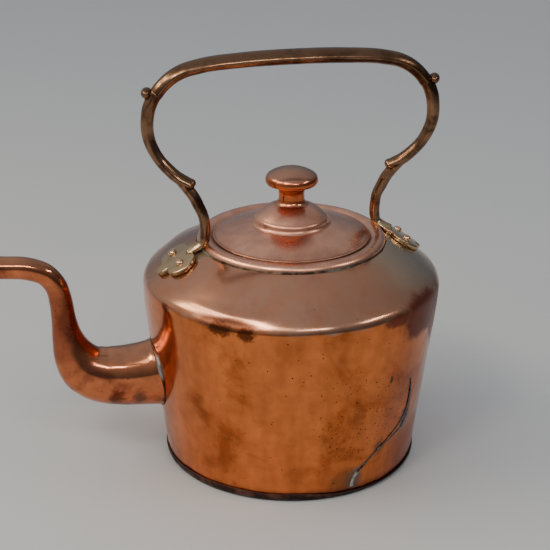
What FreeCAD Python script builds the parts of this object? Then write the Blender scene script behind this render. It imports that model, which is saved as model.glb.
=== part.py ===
import FreeCAD
import Part

import math
import os

from FreeCAD import Vector

# Copper kettle with a gooseneck spout, a fixed brass handle riveted to the shoulder and a lift-off lid.
# Millimetres, +Z up. The origin is the centre of the circle that the kettle stands on.
# The spout points along -X, and the handle's grip lies in the plane Y = 0.

# ---- Driving dimensions -------------------------------------------------------------------------------
SHEET = 1.2                     # copper sheet of the body, mouth, spout and lid
FULL_TURN = 360.0
UP = Vector(0, 0, 1)
ORIGIN = Vector(0, 0, 0)

# Body
FOOT_RADIUS = 88.5              # outside of the wall, carried down to the resting plane
WALL_FLARE = 0.1336             # growth of the wall's radius for each millimetre of height
PAN_FLOOR = 1.4                 # thickness of the bottom
PAN_RIM = 1.0                   # thickness of the upturned rim that laps the wall
PAN_HEIGHT = 6.6                # top of the lapped rim
PAN_CORNER = 4.3                # height of the rounded bottom edge
WALL_TOP = 112.0                # end of the straight wall
SHOULDER_EDGE = (104.8, 131.0)  # widest ring of the body
BEND_MIDDLE = (103.9, 135.2)
SHOULDER_BEND = (101.0, 138.9)  # top of the tight bend
SHOULDER_MIDDLE = (84.6, 151.2)
SHOULDER_FOOT = (67.0, 161.0)   # inner edge of the sloping shoulder
MOUTH_HOLE = 53.8               # radius of the hole in the shoulder
SEAM_HEIGHT = 129.0             # where the shoulder's sheet meets the wall's
BASE_FILLET = (4.0, 4.0)        # reach and rise of the solder inside the bottom seam
SOLDER_GAP = 0.05               # between that solder and the wall, so that their round meshes keep clear
SEAT_MARGIN = 0.5               # stock that is trimmed where a piece is fitted to a curved face

# Mouth ring: a formed ring with the collar that holds the lid
RING_FOOT = 66.3
RING_CREST = (60.5, 165.8)
SEAT_OUTER = 55.6
SEAT_HEIGHT = 163.9
COLLAR_RADIUS = 52.4            # inside of the collar
COLLAR_BOTTOM = 150.0
RING_FILLET = (2.0, 1.9)        # reach and rise of the solder round the ring's foot

# Lid
LID_GAP = 0.3                   # running gap between the lid and the mouth
LID_RADIUS = 55.0
LID_RIM = 51.8                  # inner edge of the flat rim
LID_CENTRE = (28.0, 173.8)      # where the dome stands on the lid
LID_HOLE = 22.0
FLANGE_RADIUS = 51.4            # outside of the ring that drops into the collar
FLANGE_WALL = 1.0
FLANGE_BOTTOM = 153.0
DOME_TOP = (10.4, 188.0)
STUD_RADIUS = 3.0
STUD_BUTTON = 4.4               # peened end of the stud
KNOB_ROVE = 7.0
KNOB_ROVE_THICKNESS = 1.2

# Knob
KNOB_FLANGE = 11.0
NECK_RADIUS = 9.1
CAP_RADIUS = 18.5
CAP_HEIGHT = 205.0              # height of the cap's widest ring
KNOB_TOP = 213.8

# Handle. Bars are listed as distance from the axis, height, half width and half thickness.
CORNER_REACH = 98.0             # where the grip meets each arm
KNUCKLE = (100.2, 272.7)        # bead on the outside of that corner
KNUCKLE_SIZE = (3.8, 6.0)       # radius in the arm's plane, and half length across it
ARM_TWIST = 17.0                # degrees that an arm's plane turns about the vertical at its corner
EDGE_HALF = 0.9                 # half thickness of a bar's front and back edges
EDGE_ROUND = 0.5                # how far those edges bulge
GRIP_STATIONS = [
    (0.0, 292.9, 7.75, 5.4),
    (36.0, 292.1, 7.6, 5.3),
    (64.0, 289.5, 7.3, 5.1),
    (76.0, 286.4, 6.9, 5.0),
    (83.5, 282.3, 6.5, 4.9),
    (89.5, 277.0, 6.1, 4.8),
    (94.2, 271.0, 5.8, 4.8),
]
UPPER_ARM_STATIONS = [
    (92.8, 273.2, 5.2, 4.3),
    (96.2, 268.2, 5.3, 4.7),
    (98.6, 262.5, 5.3, 4.75),
    (100.1, 254.0, 5.3, 4.55),
    (99.9, 244.0, 5.3, 4.4),
    (96.8, 233.8, 5.3, 4.15),
    (92.0, 225.6, 5.4, 4.0),
    (86.3, 219.2, 5.5, 4.1),
    (79.8, 213.5, 5.6, 4.2),
    (73.8, 210.2, 5.5, 4.1),
    (69.8, 208.8, 5.0, 3.2),
]
LOWER_ARM_STATIONS = [
    (81.0, 213.6, 4.4, 3.0),
    (74.0, 206.6, 4.6, 3.8),
    (69.0, 200.0, 4.7, 4.0),
    (65.9, 193.7, 4.6, 3.95),
    (62.9, 187.1, 4.6, 3.75),
    (61.6, 179.2, 4.6, 3.7),
    (61.6, 171.3, 4.7, 3.65),
    (62.9, 166.4, 5.0, 3.4),
    (66.9, 163.5, 5.6, 3.0),
    (73.5, 160.7, 6.4, 2.6),
]
ARM_NOSE = (70.6, 209.8)        # blunt end of the upper arm
ARM_NOSE_RADIUS = 3.2
TENON = (2.5, 5.0)              # radius and length of the round tenon at each end of the grip

# Feet of the handle and their rivets
FOOT_TURN = 5.0                 # degrees that a foot stands round from the grip's plane
FOOT_THICKNESS = 3.6
FOOT_LOBES = [                  # seen from above: distance from the axis, distance aside, radius
    (80.8, 9.6, 9.3),
    (80.8, -9.6, 9.3),
    (90.0, 0.0, 5.6),
    (75.2, 0.0, 8.0),
]
RIVET_CIRCLE = 82.2             # distance of the rivets from the kettle's axis
RIVET_SPREAD = 6.4              # degrees from the foot's centre line to a rivet
RIVET_HEAD = 3.1
RIVET_HEAD_HEIGHT = 2.2
RIVET_SHANK = 1.6
RIVET_BUTTON = 2.6              # peened end inside the kettle
RIVET_ROVE = 4.5
ROVE_THICKNESS = 1.0
ROVE_GAP = 0.15                 # the flat rove touches the hollow shoulder at its rim only

# Spout: distance from the axis, height, height of the oval section and its width
SPOUT_WALL = 1.1
SPOUT_STATIONS = [
    (86.0, 67.4, 51.0, 41.5),
    (97.0, 67.0, 49.0, 40.0),
    (110.0, 66.2, 46.4, 39.0),
    (124.0, 66.3, 44.0, 37.8),
    (138.0, 68.6, 41.6, 35.6),
    (148.6, 75.2, 37.2, 31.8),
    (155.2, 85.0, 30.2, 26.6),
    (159.4, 97.5, 22.6, 21.2),
    (161.7, 112.0, 17.6, 17.4),
    (163.2, 126.0, 16.4, 16.4),
    (166.0, 137.6, 15.7, 15.7),
    (173.2, 147.2, 15.6, 15.6),
    (184.5, 152.3, 15.9, 15.9),
    (203.0, 154.7, 15.9, 15.9),
    (219.0, 156.7, 15.6, 15.6),
]
SPOUT_LIP = (2.6, 17.2)         # length and diameter of the thickened lip
LIP_ROUND = 0.6
ROUND_MARGIN = 0.001            # keeps the round sections ellipses, so that all sections match
SPOUT_LAP = 1.5                 # how far the spout's end stands inside the wall
SOLDER_SPREAD = 2.6             # width of the solder round the spout's root
SOLDER_HEIGHT = 2.0

# Solder that mends a split in the wall: degrees round the axis, height and width
REPAIR_THICKNESS = 0.8
REPAIR_STATIONS = [
    (-73.2, 7.6, 8.0),
    (-72.6, 13.0, 6.4),
    (-70.2, 19.2, 4.6),
    (-64.8, 26.3, 3.4),
    (-59.6, 32.2, 3.2),
    (-53.0, 37.0, 3.6),
    (-46.4, 41.4, 4.8),
    (-42.2, 50.6, 5.0),
    (-42.2, 63.0, 3.4),
    (-43.9, 75.6, 2.2),
]


# ---- Shared helpers -----------------------------------------------------------------------------------
def at(point):
    """Put a (distance from the axis, height) pair in the XZ plane."""
    return Vector(point[0], 0, point[1])


def outline(start, *steps):
    """Wire in the XZ plane. A step is an end point, or a pair (point on the arc, end point)."""
    edges = []
    here = at(start)
    for step in steps:
        if isinstance(step[0], tuple):
            middle, end = step
            edges.append(Part.Arc(here, at(middle), at(end)).toShape())
        else:
            end = step
            edges.append(Part.makeLine(here, at(end)))
        here = at(end)
    return Part.Wire(edges)


def turned(wire):
    """Solid of revolution of a closed outline about the kettle's axis."""
    return Part.Face(wire).revolve(ORIGIN, UP, FULL_TURN)


def spun_sheet(wire, thickness):
    """Revolve an open outline as sheet metal, which lies on the left of the outline's direction."""
    strip = wire.makeOffset2D(thickness, join=2, fill=True, openResult=True)
    return strip.revolve(ORIGIN, UP, FULL_TURN)


def largest(shape):
    """The biggest solid of a shape, without the slivers that a cut leaves."""
    return max(shape.Solids, key=lambda solid: solid.Volume)


def fitted(shape, *neighbours):
    """Trim a piece to the faces of the pieces that it sits on."""
    return largest(shape.cut(list(neighbours)))


def along(angle):
    """Level unit vector at an angle in degrees from +X."""
    return Vector(math.cos(math.radians(angle)), math.sin(math.radians(angle)), 0)


def half_turned(shape):
    """The same piece on the kettle's other side."""
    copy = shape.copy()
    copy.rotate(ORIGIN, UP, FULL_TURN / 2)
    return copy


def spline_through(points):
    curve = Part.BSplineCurve()
    curve.interpolate(points)
    return curve


def directions_at(points):
    """Direction of a smooth curve through the points, at each of them."""
    curve = spline_through(points)
    return [curve.tangent(curve.parameter(point))[0] for point in points]


# ---- Body ---------------------------------------------------------------------------------------------
def wall_radius(height):
    """Outside radius of the straight wall at a height."""
    return FOOT_RADIUS + WALL_FLARE * height


def wall_band(outward, low, high):
    """Solid between the wall's outer face and a face set outward from it."""
    return turned(outline(
        (wall_radius(low), low),
        (wall_radius(low) + outward, low),
        (wall_radius(high) + outward, high),
        (wall_radius(high), high),
        (wall_radius(low), low),
    ))


def make_body_shell():
    """Wall and shoulder, raised from one sheet, with a flat land round the mouth."""
    return spun_sheet(outline(
        (wall_radius(PAN_FLOOR), PAN_FLOOR),
        (wall_radius(WALL_TOP), WALL_TOP),
        ((104.45, 121.3), SHOULDER_EDGE),
        (BEND_MIDDLE, SHOULDER_BEND),
        (SHOULDER_MIDDLE, SHOULDER_FOOT),
        (MOUTH_HOLE, SHOULDER_FOOT[1]),
    ), SHEET)


def split_level(solid, height):
    """Cut a solid at a level into its lower and its upper part."""
    reach = 2 * SHOULDER_EDGE[0]
    upper = Part.makeBox(2 * reach, 2 * reach, reach, Vector(-reach, -reach, height))
    return solid.cut(upper), solid.common(upper)


def make_base_pan():
    """Flat bottom with a rounded edge and an upturned rim that laps the wall."""
    rim = wall_radius(PAN_CORNER) + PAN_RIM
    corner_bulge = PAN_CORNER * (1 - math.sqrt(0.5))
    return turned(outline(
        (0, 0),
        (rim - PAN_CORNER, 0),
        ((rim - corner_bulge, corner_bulge), (rim, PAN_CORNER)),
        (wall_radius(PAN_HEIGHT) + PAN_RIM, PAN_HEIGHT),
        (wall_radius(PAN_HEIGHT), PAN_HEIGHT),
        (wall_radius(PAN_FLOOR), PAN_FLOOR),
        (0, PAN_FLOOR),
        (0, 0),
    ))


def make_base_solder():
    """Fillet of hard solder inside the bottom seam."""
    reach, rise = BASE_FILLET
    foot = wall_radius(PAN_FLOOR) - SHEET - SOLDER_GAP
    top = wall_radius(PAN_FLOOR + rise) - SHEET - SOLDER_GAP
    return turned(outline(
        (foot, PAN_FLOOR),
        (foot - reach, PAN_FLOOR),
        ((foot - reach * 0.42, PAN_FLOOR + rise * 0.4), (top, PAN_FLOOR + rise)),
        (foot, PAN_FLOOR),
    ))


def make_mouth_ring():
    """Half-round ring about the mouth, with the lid's seat and the collar below it, in one sheet."""
    return spun_sheet(outline(
        (RING_FOOT, SHOULDER_FOOT[1]),
        ((64.9, 164.6), RING_CREST),
        ((57.9, 165.3), (SEAT_OUTER, SEAT_HEIGHT)),
        (COLLAR_RADIUS, SEAT_HEIGHT),
        (COLLAR_RADIUS, COLLAR_BOTTOM),
    ), SHEET)


def make_ring_solder(ring, shell):
    """Line of solder along the outer foot of the mouth ring."""
    reach, rise = RING_FILLET
    base = SHOULDER_FOOT[1]
    fillet = turned(outline(
        (RING_FOOT - SHEET / 2, base - reach),
        (RING_FOOT + reach, base - reach),
        (RING_FOOT + reach, base - reach * 0.4),
        ((RING_FOOT + reach * 0.4, base + rise * 0.35), (RING_FOOT - SHEET / 3, base + rise)),
        (RING_FOOT - SHEET / 2, base + rise),
        (RING_FOOT - SHEET / 2, base - reach),
    ))
    pieces = fillet.cut([ring, shell]).Solids
    return max(pieces, key=lambda piece: piece.BoundBox.XMax)


# ---- Spout --------------------------------------------------------------------------------------------
def oval(centre, direction, tall, wide):
    """Elliptical section, square to a direction in the XZ plane."""
    across = Vector(0, 1, 0)
    upward = across.cross(direction)
    ellipse = Part.Ellipse(centre + upward * tall, centre + across * wide, centre)
    return Part.Wire(ellipse.toShape())


def spout_points():
    return [Vector(-reach, 0, height) for reach, height, _, _ in SPOUT_STATIONS]


def spout_solid(shrink):
    """The spout as a full solid, drawn in all round by a distance."""
    points = spout_points()
    sections = []
    for point, direction, station in zip(points, directions_at(points), SPOUT_STATIONS):
        tall, wide = station[2] / 2 - shrink, station[3] / 2 - shrink
        sections.append(oval(point, direction, max(tall, wide + ROUND_MARGIN), wide))
    return Part.makeLoft(sections, True)


def make_spout(full_spout):
    """Gooseneck pipe with a thickened lip. Its root stands a little inside the wall."""
    tip = spout_points()[-1]
    direction = directions_at(spout_points())[-1]
    length, diameter = SPOUT_LIP
    lip = Part.makeCylinder(diameter / 2, length, tip - direction * length, direction)
    lip = lip.makeFillet(LIP_ROUND, [edge for edge in lip.Edges if edge.Closed])
    bore_radius = SPOUT_STATIONS[-1][3] / 2 - SPOUT_WALL
    bore_end = Part.makeCylinder(bore_radius, 2 * length, tip - direction * length, direction)
    room = wall_radius(0) - SHEET - SPOUT_LAP
    top = room + WALL_FLARE * WALL_TOP
    inside = turned(outline((0, 0), (room, 0), (top, WALL_TOP), (0, WALL_TOP), (0, 0)))
    pipe = full_spout.fuse(lip)
    for void in (spout_solid(SPOUT_WALL), bore_end, inside):
        pipe = pipe.cut(void)
    return largest(pipe)


def make_spout_solder(full_spout):
    """Collar of soft solder round the root of the spout."""
    collar = spout_solid(-SOLDER_SPREAD).common(wall_band(SOLDER_HEIGHT, PAN_HEIGHT, WALL_TOP))
    return fitted(collar, full_spout)


# ---- Handle -------------------------------------------------------------------------------------------
def lens(centre, direction, across, half_width, half_height):
    """Section of a handle bar: two broad crowns that meet in narrow rounded edges."""
    normal = direction.cross(across).normalize()
    flat = half_width - EDGE_ROUND

    def spot(sideways, outward):
        return centre + across * sideways + normal * outward

    corners = [
        spot(-flat, EDGE_HALF),
        spot(flat, EDGE_HALF),
        spot(flat, -EDGE_HALF),
        spot(-flat, -EDGE_HALF),
    ]
    crowns = [spot(0, half_height), spot(half_width, 0), spot(0, -half_height), spot(-half_width, 0)]
    edges = []
    for index, crown in enumerate(crowns):
        edges.append(Part.Arc(corners[index], crown, corners[(index + 1) % len(corners)]).toShape())
    return Part.Wire(edges)


def bar(stations, place, across):
    """Loft lens sections along a curve. `place` turns a station's first two numbers into a point."""
    points = [place(station[0], station[1]) for station in stations]
    sections = []
    for point, direction, station in zip(points, directions_at(points), stations):
        sections.append(lens(point, direction, across, station[2], station[3]))
    return Part.makeLoft(sections, True)


def make_grip():
    """Arched grip, thickest in the middle, with a round tenon at each end."""
    left = [(-reach, *rest) for reach, *rest in reversed(GRIP_STATIONS[1:])]
    grip_stations = left + GRIP_STATIONS
    grip = bar(grip_stations, lambda reach, height: Vector(reach, 0, height), Vector(0, 1, 0))
    points = [at(station) for station in grip_stations]
    radius, length = TENON
    tip, direction = points[-1], directions_at(points)[-1]
    tenon = Part.makeCylinder(radius, length + 1, tip - direction, direction)
    return grip.fuse([tenon, half_turned(tenon)])


def arm_point(reach, height):
    """Point in the plane of the arm on the +X side, which turns about the vertical at its corner."""
    return Vector(CORNER_REACH, 0, height) + along(180 - ARM_TWIST) * (CORNER_REACH - reach)


def make_ball(radius, half_length, centre, across):
    """Bead that is longer across the arm than it is thick."""
    bead = Part.makeSphere(radius)
    stretch = FreeCAD.Matrix()
    stretch.scale(1, half_length / radius, 1)
    bead = bead.transformGeometry(stretch)
    bead.rotate(ORIGIN, UP, -ARM_TWIST)
    bead.translate(centre)
    return bead


def make_foot():
    """Scalloped foot, formed to the shoulder that it lies on."""
    low, high = SHOULDER_EDGE[1], SHOULDER_FOOT[1] + 2 * FOOT_THICKNESS
    lobes = []
    for reach, aside, radius in FOOT_LOBES:
        lobes.append(Part.makeCylinder(radius, high - low, Vector(reach, aside, low), UP))
    stamped = lobes[0].fuse(lobes[1:])
    stamped.rotate(ORIGIN, UP, FOOT_TURN)
    outer_face = outline(SHOULDER_FOOT, (SHOULDER_MIDDLE, SHOULDER_BEND), (BEND_MIDDLE, SHOULDER_EDGE))
    band = spun_sheet(outer_face, FOOT_THICKNESS)
    return largest(band.common(stamped))


def make_arm(grip, ring):
    """Right-hand arm: bead at the corner, S-shaped upper part, slimmer lower part, and the foot."""
    across = along(90 - ARM_TWIST)
    radius, half_length = KNUCKLE_SIZE
    pieces = [
        bar(LOWER_ARM_STATIONS, arm_point, across),
        make_ball(radius, half_length, arm_point(*KNUCKLE), across),
        make_ball(ARM_NOSE_RADIUS, ARM_NOSE_RADIUS * 1.15, arm_point(*ARM_NOSE), across),
        make_foot(),
    ]
    arm = bar(UPPER_ARM_STATIONS, arm_point, across).fuse(pieces)
    return arm.cut([grip, ring])


# ---- Rivets -------------------------------------------------------------------------------------------
def shoulder_spot(reach):
    """Point of the shoulder's outer face at a distance from the axis, with the outward normal there."""
    arc = outline(SHOULDER_FOOT, (SHOULDER_MIDDLE, SHOULDER_BEND)).Edges[0]
    upright_line = Part.makeLine(Vector(reach, 0, 0), Vector(reach, 0, KNOB_TOP))
    point = arc.distToShape(upright_line)[1][0][0]
    slope = arc.tangentAt(arc.Curve.parameter(point))
    normal = slope.cross(Vector(0, 1, 0))
    if normal.z < 0:
        normal = normal * -1
    return point, normal


def rivet_places():
    """Each rivet of the right-hand foot: the point on the shoulder and the outward normal."""
    point, normal = shoulder_spot(RIVET_CIRCLE)
    places = []
    for angle in (FOOT_TURN - RIVET_SPREAD, FOOT_TURN + RIVET_SPREAD):
        turn = FreeCAD.Rotation(UP, angle)
        places.append((turn.multVec(point), turn.multVec(normal)))
    return places


def stood_on(profile, point, normal):
    """Turn a closed profile about Z, then stand it on a point with its axis along a normal."""
    solid = turned(profile)
    solid.Placement = FreeCAD.Placement(point, FreeCAD.Rotation(UP, normal))
    return solid


def make_rivet(place):
    """Domed head above the foot, shank, and the end peened over its rove."""
    seat = FOOT_THICKNESS
    top = FOOT_THICKNESS + RIVET_HEAD_HEIGHT
    tail = -SHEET - ROVE_GAP - ROVE_THICKNESS
    return stood_on(outline(
        (0, tail - 1.1),
        (0.4, tail - 1.1),
        ((1.9, tail - 0.8), (RIVET_BUTTON, tail)),
        (RIVET_SHANK, tail),
        (RIVET_SHANK, seat),
        (RIVET_HEAD, seat),
        (RIVET_HEAD, seat + 0.5),
        ((RIVET_HEAD * 0.7, top - 0.5), (0.4, top)),
        (0, top),
        (0, tail - 1.1),
    ), *place)


def make_rove(place):
    """Flat washer under a rivet's tail, inside the kettle."""
    top = -SHEET - ROVE_GAP
    return stood_on(outline(
        (RIVET_SHANK, top - ROVE_THICKNESS),
        (RIVET_ROVE, top - ROVE_THICKNESS),
        (RIVET_ROVE, top),
        (RIVET_SHANK, top),
        (RIVET_SHANK, top - ROVE_THICKNESS),
    ), *place)


def rivet_hole(point, normal):
    length = 4 * FOOT_THICKNESS
    return Part.makeCylinder(RIVET_SHANK, length, point - normal * (length / 2), normal)


# ---- Lid ----------------------------------------------------------------------------------------------
def make_lid_plate():
    """Lid with a flat rim on its seat, rising in a soft cone to a land under the dome."""
    rim_top = SEAT_HEIGHT + LID_GAP + SHEET
    return spun_sheet(outline(
        (LID_RADIUS, rim_top),
        (LID_RIM, rim_top),
        ((41.3, 170.4), LID_CENTRE),
        (LID_HOLE, LID_CENTRE[1]),
    ), SHEET)


def make_lid_flange(plate):
    """Ring under the lid that keeps it in the collar."""
    inner = FLANGE_RADIUS - FLANGE_WALL
    blank = turned(outline(
        (inner, FLANGE_BOTTOM),
        (FLANGE_RADIUS, FLANGE_BOTTOM),
        (FLANGE_RADIUS, LID_CENTRE[1]),
        (inner, LID_CENTRE[1]),
        (inner, FLANGE_BOTTOM),
    ))
    return min(blank.cut(plate).Solids, key=lambda piece: piece.CenterOfMass.z)


def make_lid_dome(plate):
    """Stepped dome in the middle of the lid, under the knob."""
    reach, height = LID_CENTRE
    blank = spun_sheet(outline(
        (reach + 0.3, height - SEAT_MARGIN),
        ((26.7, 175.0), (26.0, 177.0)),
        ((25.4, 178.6), (24.3, 179.6)),
        ((18.2, 184.4), DOME_TOP),
        (STUD_RADIUS, DOME_TOP[1]),
    ), SHEET)
    return fitted(blank, plate)


def make_knob_rove():
    """Washer between the dome and the peened end of the knob's stud."""
    top = DOME_TOP[1] - SHEET
    bottom = top - KNOB_ROVE_THICKNESS
    return turned(outline(
        (STUD_RADIUS, bottom),
        (KNOB_ROVE, bottom),
        (KNOB_ROVE, top),
        (STUD_RADIUS, top),
        (STUD_RADIUS, bottom),
    ))


def make_knob():
    """Turned mushroom knob, with a stud that is peened under the dome."""
    base = DOME_TOP[1]
    tail = base - SHEET - KNOB_ROVE_THICKNESS
    return turned(outline(
        (0, tail - 1.4),
        (0.5, tail - 1.4),
        ((2.8, tail - 1.0), (STUD_BUTTON, tail)),
        (STUD_RADIUS, tail),
        (STUD_RADIUS, base),
        (KNOB_FLANGE - 0.8, base),
        ((KNOB_FLANGE, base + 1.0), (KNOB_FLANGE - 0.9, base + 2.0)),
        ((NECK_RADIUS + 0.35, base + 2.8), (NECK_RADIUS, base + 4.4)),
        ((NECK_RADIUS, base + 8.2), (NECK_RADIUS + 0.9, base + 11.8)),
        ((12.4, base + 13.5), (15.8, base + 14.3)),
        ((17.9, base + 15.2), (CAP_RADIUS, CAP_HEIGHT)),
        ((17.9, CAP_HEIGHT + 2.6), (15.6, CAP_HEIGHT + 4.9)),
        ((8.6, CAP_HEIGHT + 7.9), (0.5, KNOB_TOP)),
        (0, KNOB_TOP),
        (0, tail - 1.4),
    ))


# ---- Old repair ---------------------------------------------------------------------------------------
def make_repair_solder():
    """Run of solder on the wall, wide at the bottom seam and thin towards its upper end."""
    middle = (REPAIR_STATIONS[0][0] + REPAIR_STATIONS[-1][0]) / 2
    sideways = along(middle + 90)
    path = []
    for angle, height, _ in REPAIR_STATIONS:
        path.append(along(angle).dot(sideways) * wall_radius(height) * sideways + height * UP)
    left, right = [], []
    for point, direction, station in zip(path, directions_at(path), REPAIR_STATIONS):
        aside = direction.cross(along(middle)).normalize() * (station[2] / 2)
        left.append(point - aside)
        right.append(point + aside)
    edge = Part.makePolygon(left + list(reversed(right)) + left[:1])
    prism = Part.Face(edge).extrude(along(middle) * 2 * FOOT_RADIUS)
    return largest(wall_band(REPAIR_THICKNESS, PAN_HEIGHT, WALL_TOP).common(prism))


# ---- Assembly -----------------------------------------------------------------------------------------
def both_sides(name, shapes):
    """A right-hand node and the same node half a turn round."""
    right = Part.makeCompound(shapes)
    return {f"{name}_right": right, f"{name}_left": half_turned(right)}


def build():
    """All nodes by name."""
    full_spout = spout_solid(0)
    shell = make_body_shell().cut(full_spout)
    ring = make_mouth_ring()
    grip = make_grip()
    arm = make_arm(grip, ring)
    places = rivet_places()
    for place in places:
        hole = rivet_hole(*place)
        arm = arm.cut(hole)
        shell = shell.cut([hole, half_turned(hole)])
    arm = largest(arm)
    shell = largest(shell)
    wall, shoulder = split_level(shell, SEAM_HEIGHT)
    ring_solder = fitted(make_ring_solder(ring, shell), arm, half_turned(arm))
    plate = make_lid_plate()
    dome = make_lid_dome(plate)
    nodes = {
        "base_pan": make_base_pan(),
        "base_solder": make_base_solder(),
        "body_wall": wall,
        "body_shoulder": shoulder,
        "mouth_ring": ring,
        "ring_solder": ring_solder,
        "repair_solder": make_repair_solder(),
        "spout": make_spout(full_spout),
        "spout_solder": make_spout_solder(full_spout),
        "handle_grip": grip,
        "lid_plate": plate,
        "lid_flange": make_lid_flange(plate),
        "lid_dome": dome,
        "lid_knob": make_knob(),
        "knob_rove": make_knob_rove(),
    }
    nodes.update(both_sides("handle_arm", [arm]))
    nodes.update(both_sides("foot_rivets", [make_rivet(place) for place in places]))
    nodes.update(both_sides("rivet_roves", [make_rove(place) for place in places]))
    return nodes


def main():
    os.makedirs("parts", exist_ok=True)
    for name, shape in build().items():
        shape.exportStep(f"parts/{name}.step")
        print(f"{name}: {len(shape.Solids)} solids, valid {shape.isValid()}, {shape.Volume:.0f} mm3")


main()
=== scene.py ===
"""Old copper kettle with a riveted brass handle and a lift-off lid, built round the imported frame."""

import logging
import math
from collections.abc import Callable, Sequence
from dataclasses import dataclass
from enum import Enum

import bmesh
import bpy
import numpy as np
from mathutils import Matrix, Vector


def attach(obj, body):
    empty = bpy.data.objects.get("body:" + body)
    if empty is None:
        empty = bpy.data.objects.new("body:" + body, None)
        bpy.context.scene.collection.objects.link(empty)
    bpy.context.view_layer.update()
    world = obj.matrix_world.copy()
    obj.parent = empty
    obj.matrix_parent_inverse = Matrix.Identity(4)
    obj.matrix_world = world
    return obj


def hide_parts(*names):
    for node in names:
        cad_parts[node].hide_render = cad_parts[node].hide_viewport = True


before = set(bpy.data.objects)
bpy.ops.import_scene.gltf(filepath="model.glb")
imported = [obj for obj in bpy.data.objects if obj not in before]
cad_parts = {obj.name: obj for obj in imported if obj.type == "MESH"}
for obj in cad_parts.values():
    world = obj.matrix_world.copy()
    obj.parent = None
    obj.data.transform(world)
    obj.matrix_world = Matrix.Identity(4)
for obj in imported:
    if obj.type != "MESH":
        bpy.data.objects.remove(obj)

MM = 0.001
WEAR_GAIN = 1.2  # how much of the wear scale a bend of one per millimetre takes
log = logging.getLogger("kettle")

Point2 = tuple[float, float]
Runs = tuple[tuple[Point2, ...], ...]  # of an outline: one point is a straight run, two are an arc
Stations = tuple[tuple[float, float, float, float], ...]
Field = Callable[[np.ndarray], np.ndarray]
Socket = bpy.types.NodeSocket


class Body(Enum):
    """Rigid bodies of the kettle."""

    KETTLE = "kettle"
    LID = "lid"


class Slot(Enum):
    """Material slots of the record."""

    COPPER = "copper"
    BRASS = "brass"
    RIVET = "rivet_copper"
    SOLDER = "solder"


# ---- Shader and geometry node helpers -------------------------------------------------------------------


def linear(code: str) -> tuple[float, float, float, float]:
    """Turn an sRGB hex colour into linear red, green, blue and alpha.

    Args:
        code: Colour as six hex digits, such as "c87941".

    Returns:
        Linear colour with alpha 1.
    """
    parts = [int(code[i : i + 2], 16) / 255 for i in (0, 2, 4)]
    red, green, blue = (p / 12.92 if p <= 0.04045 else ((p + 0.055) / 1.055) ** 2.4 for p in parts)
    return red, green, blue, 1.0


def add(tree: bpy.types.NodeTree, kind: str, inputs: dict | None = None, output: str | int = 0,
        **settings) -> Socket:
    """Add a node, set its properties, and link or set its inputs.

    Args:
        tree: Node tree that gets the node.
        kind: Blender's type name of the node.
        inputs: Input name or number to a value, or to an output socket that is linked to it.
        output: Name or number of the output that is wanted.
        **settings: Properties of the node.

    Returns:
        That output of the new node.
    """
    node = tree.nodes.new(kind)
    for name, value in settings.items():
        setattr(node, name, value)
    for key, value in (inputs or {}).items():
        if isinstance(value, Socket):
            tree.links.new(value, node.inputs[key])
        else:
            node.inputs[key].default_value = value
    return node.outputs[output] if node.outputs else None


# ---- Outlines and turned pieces ---------------------------------------------------------------------------


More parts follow.
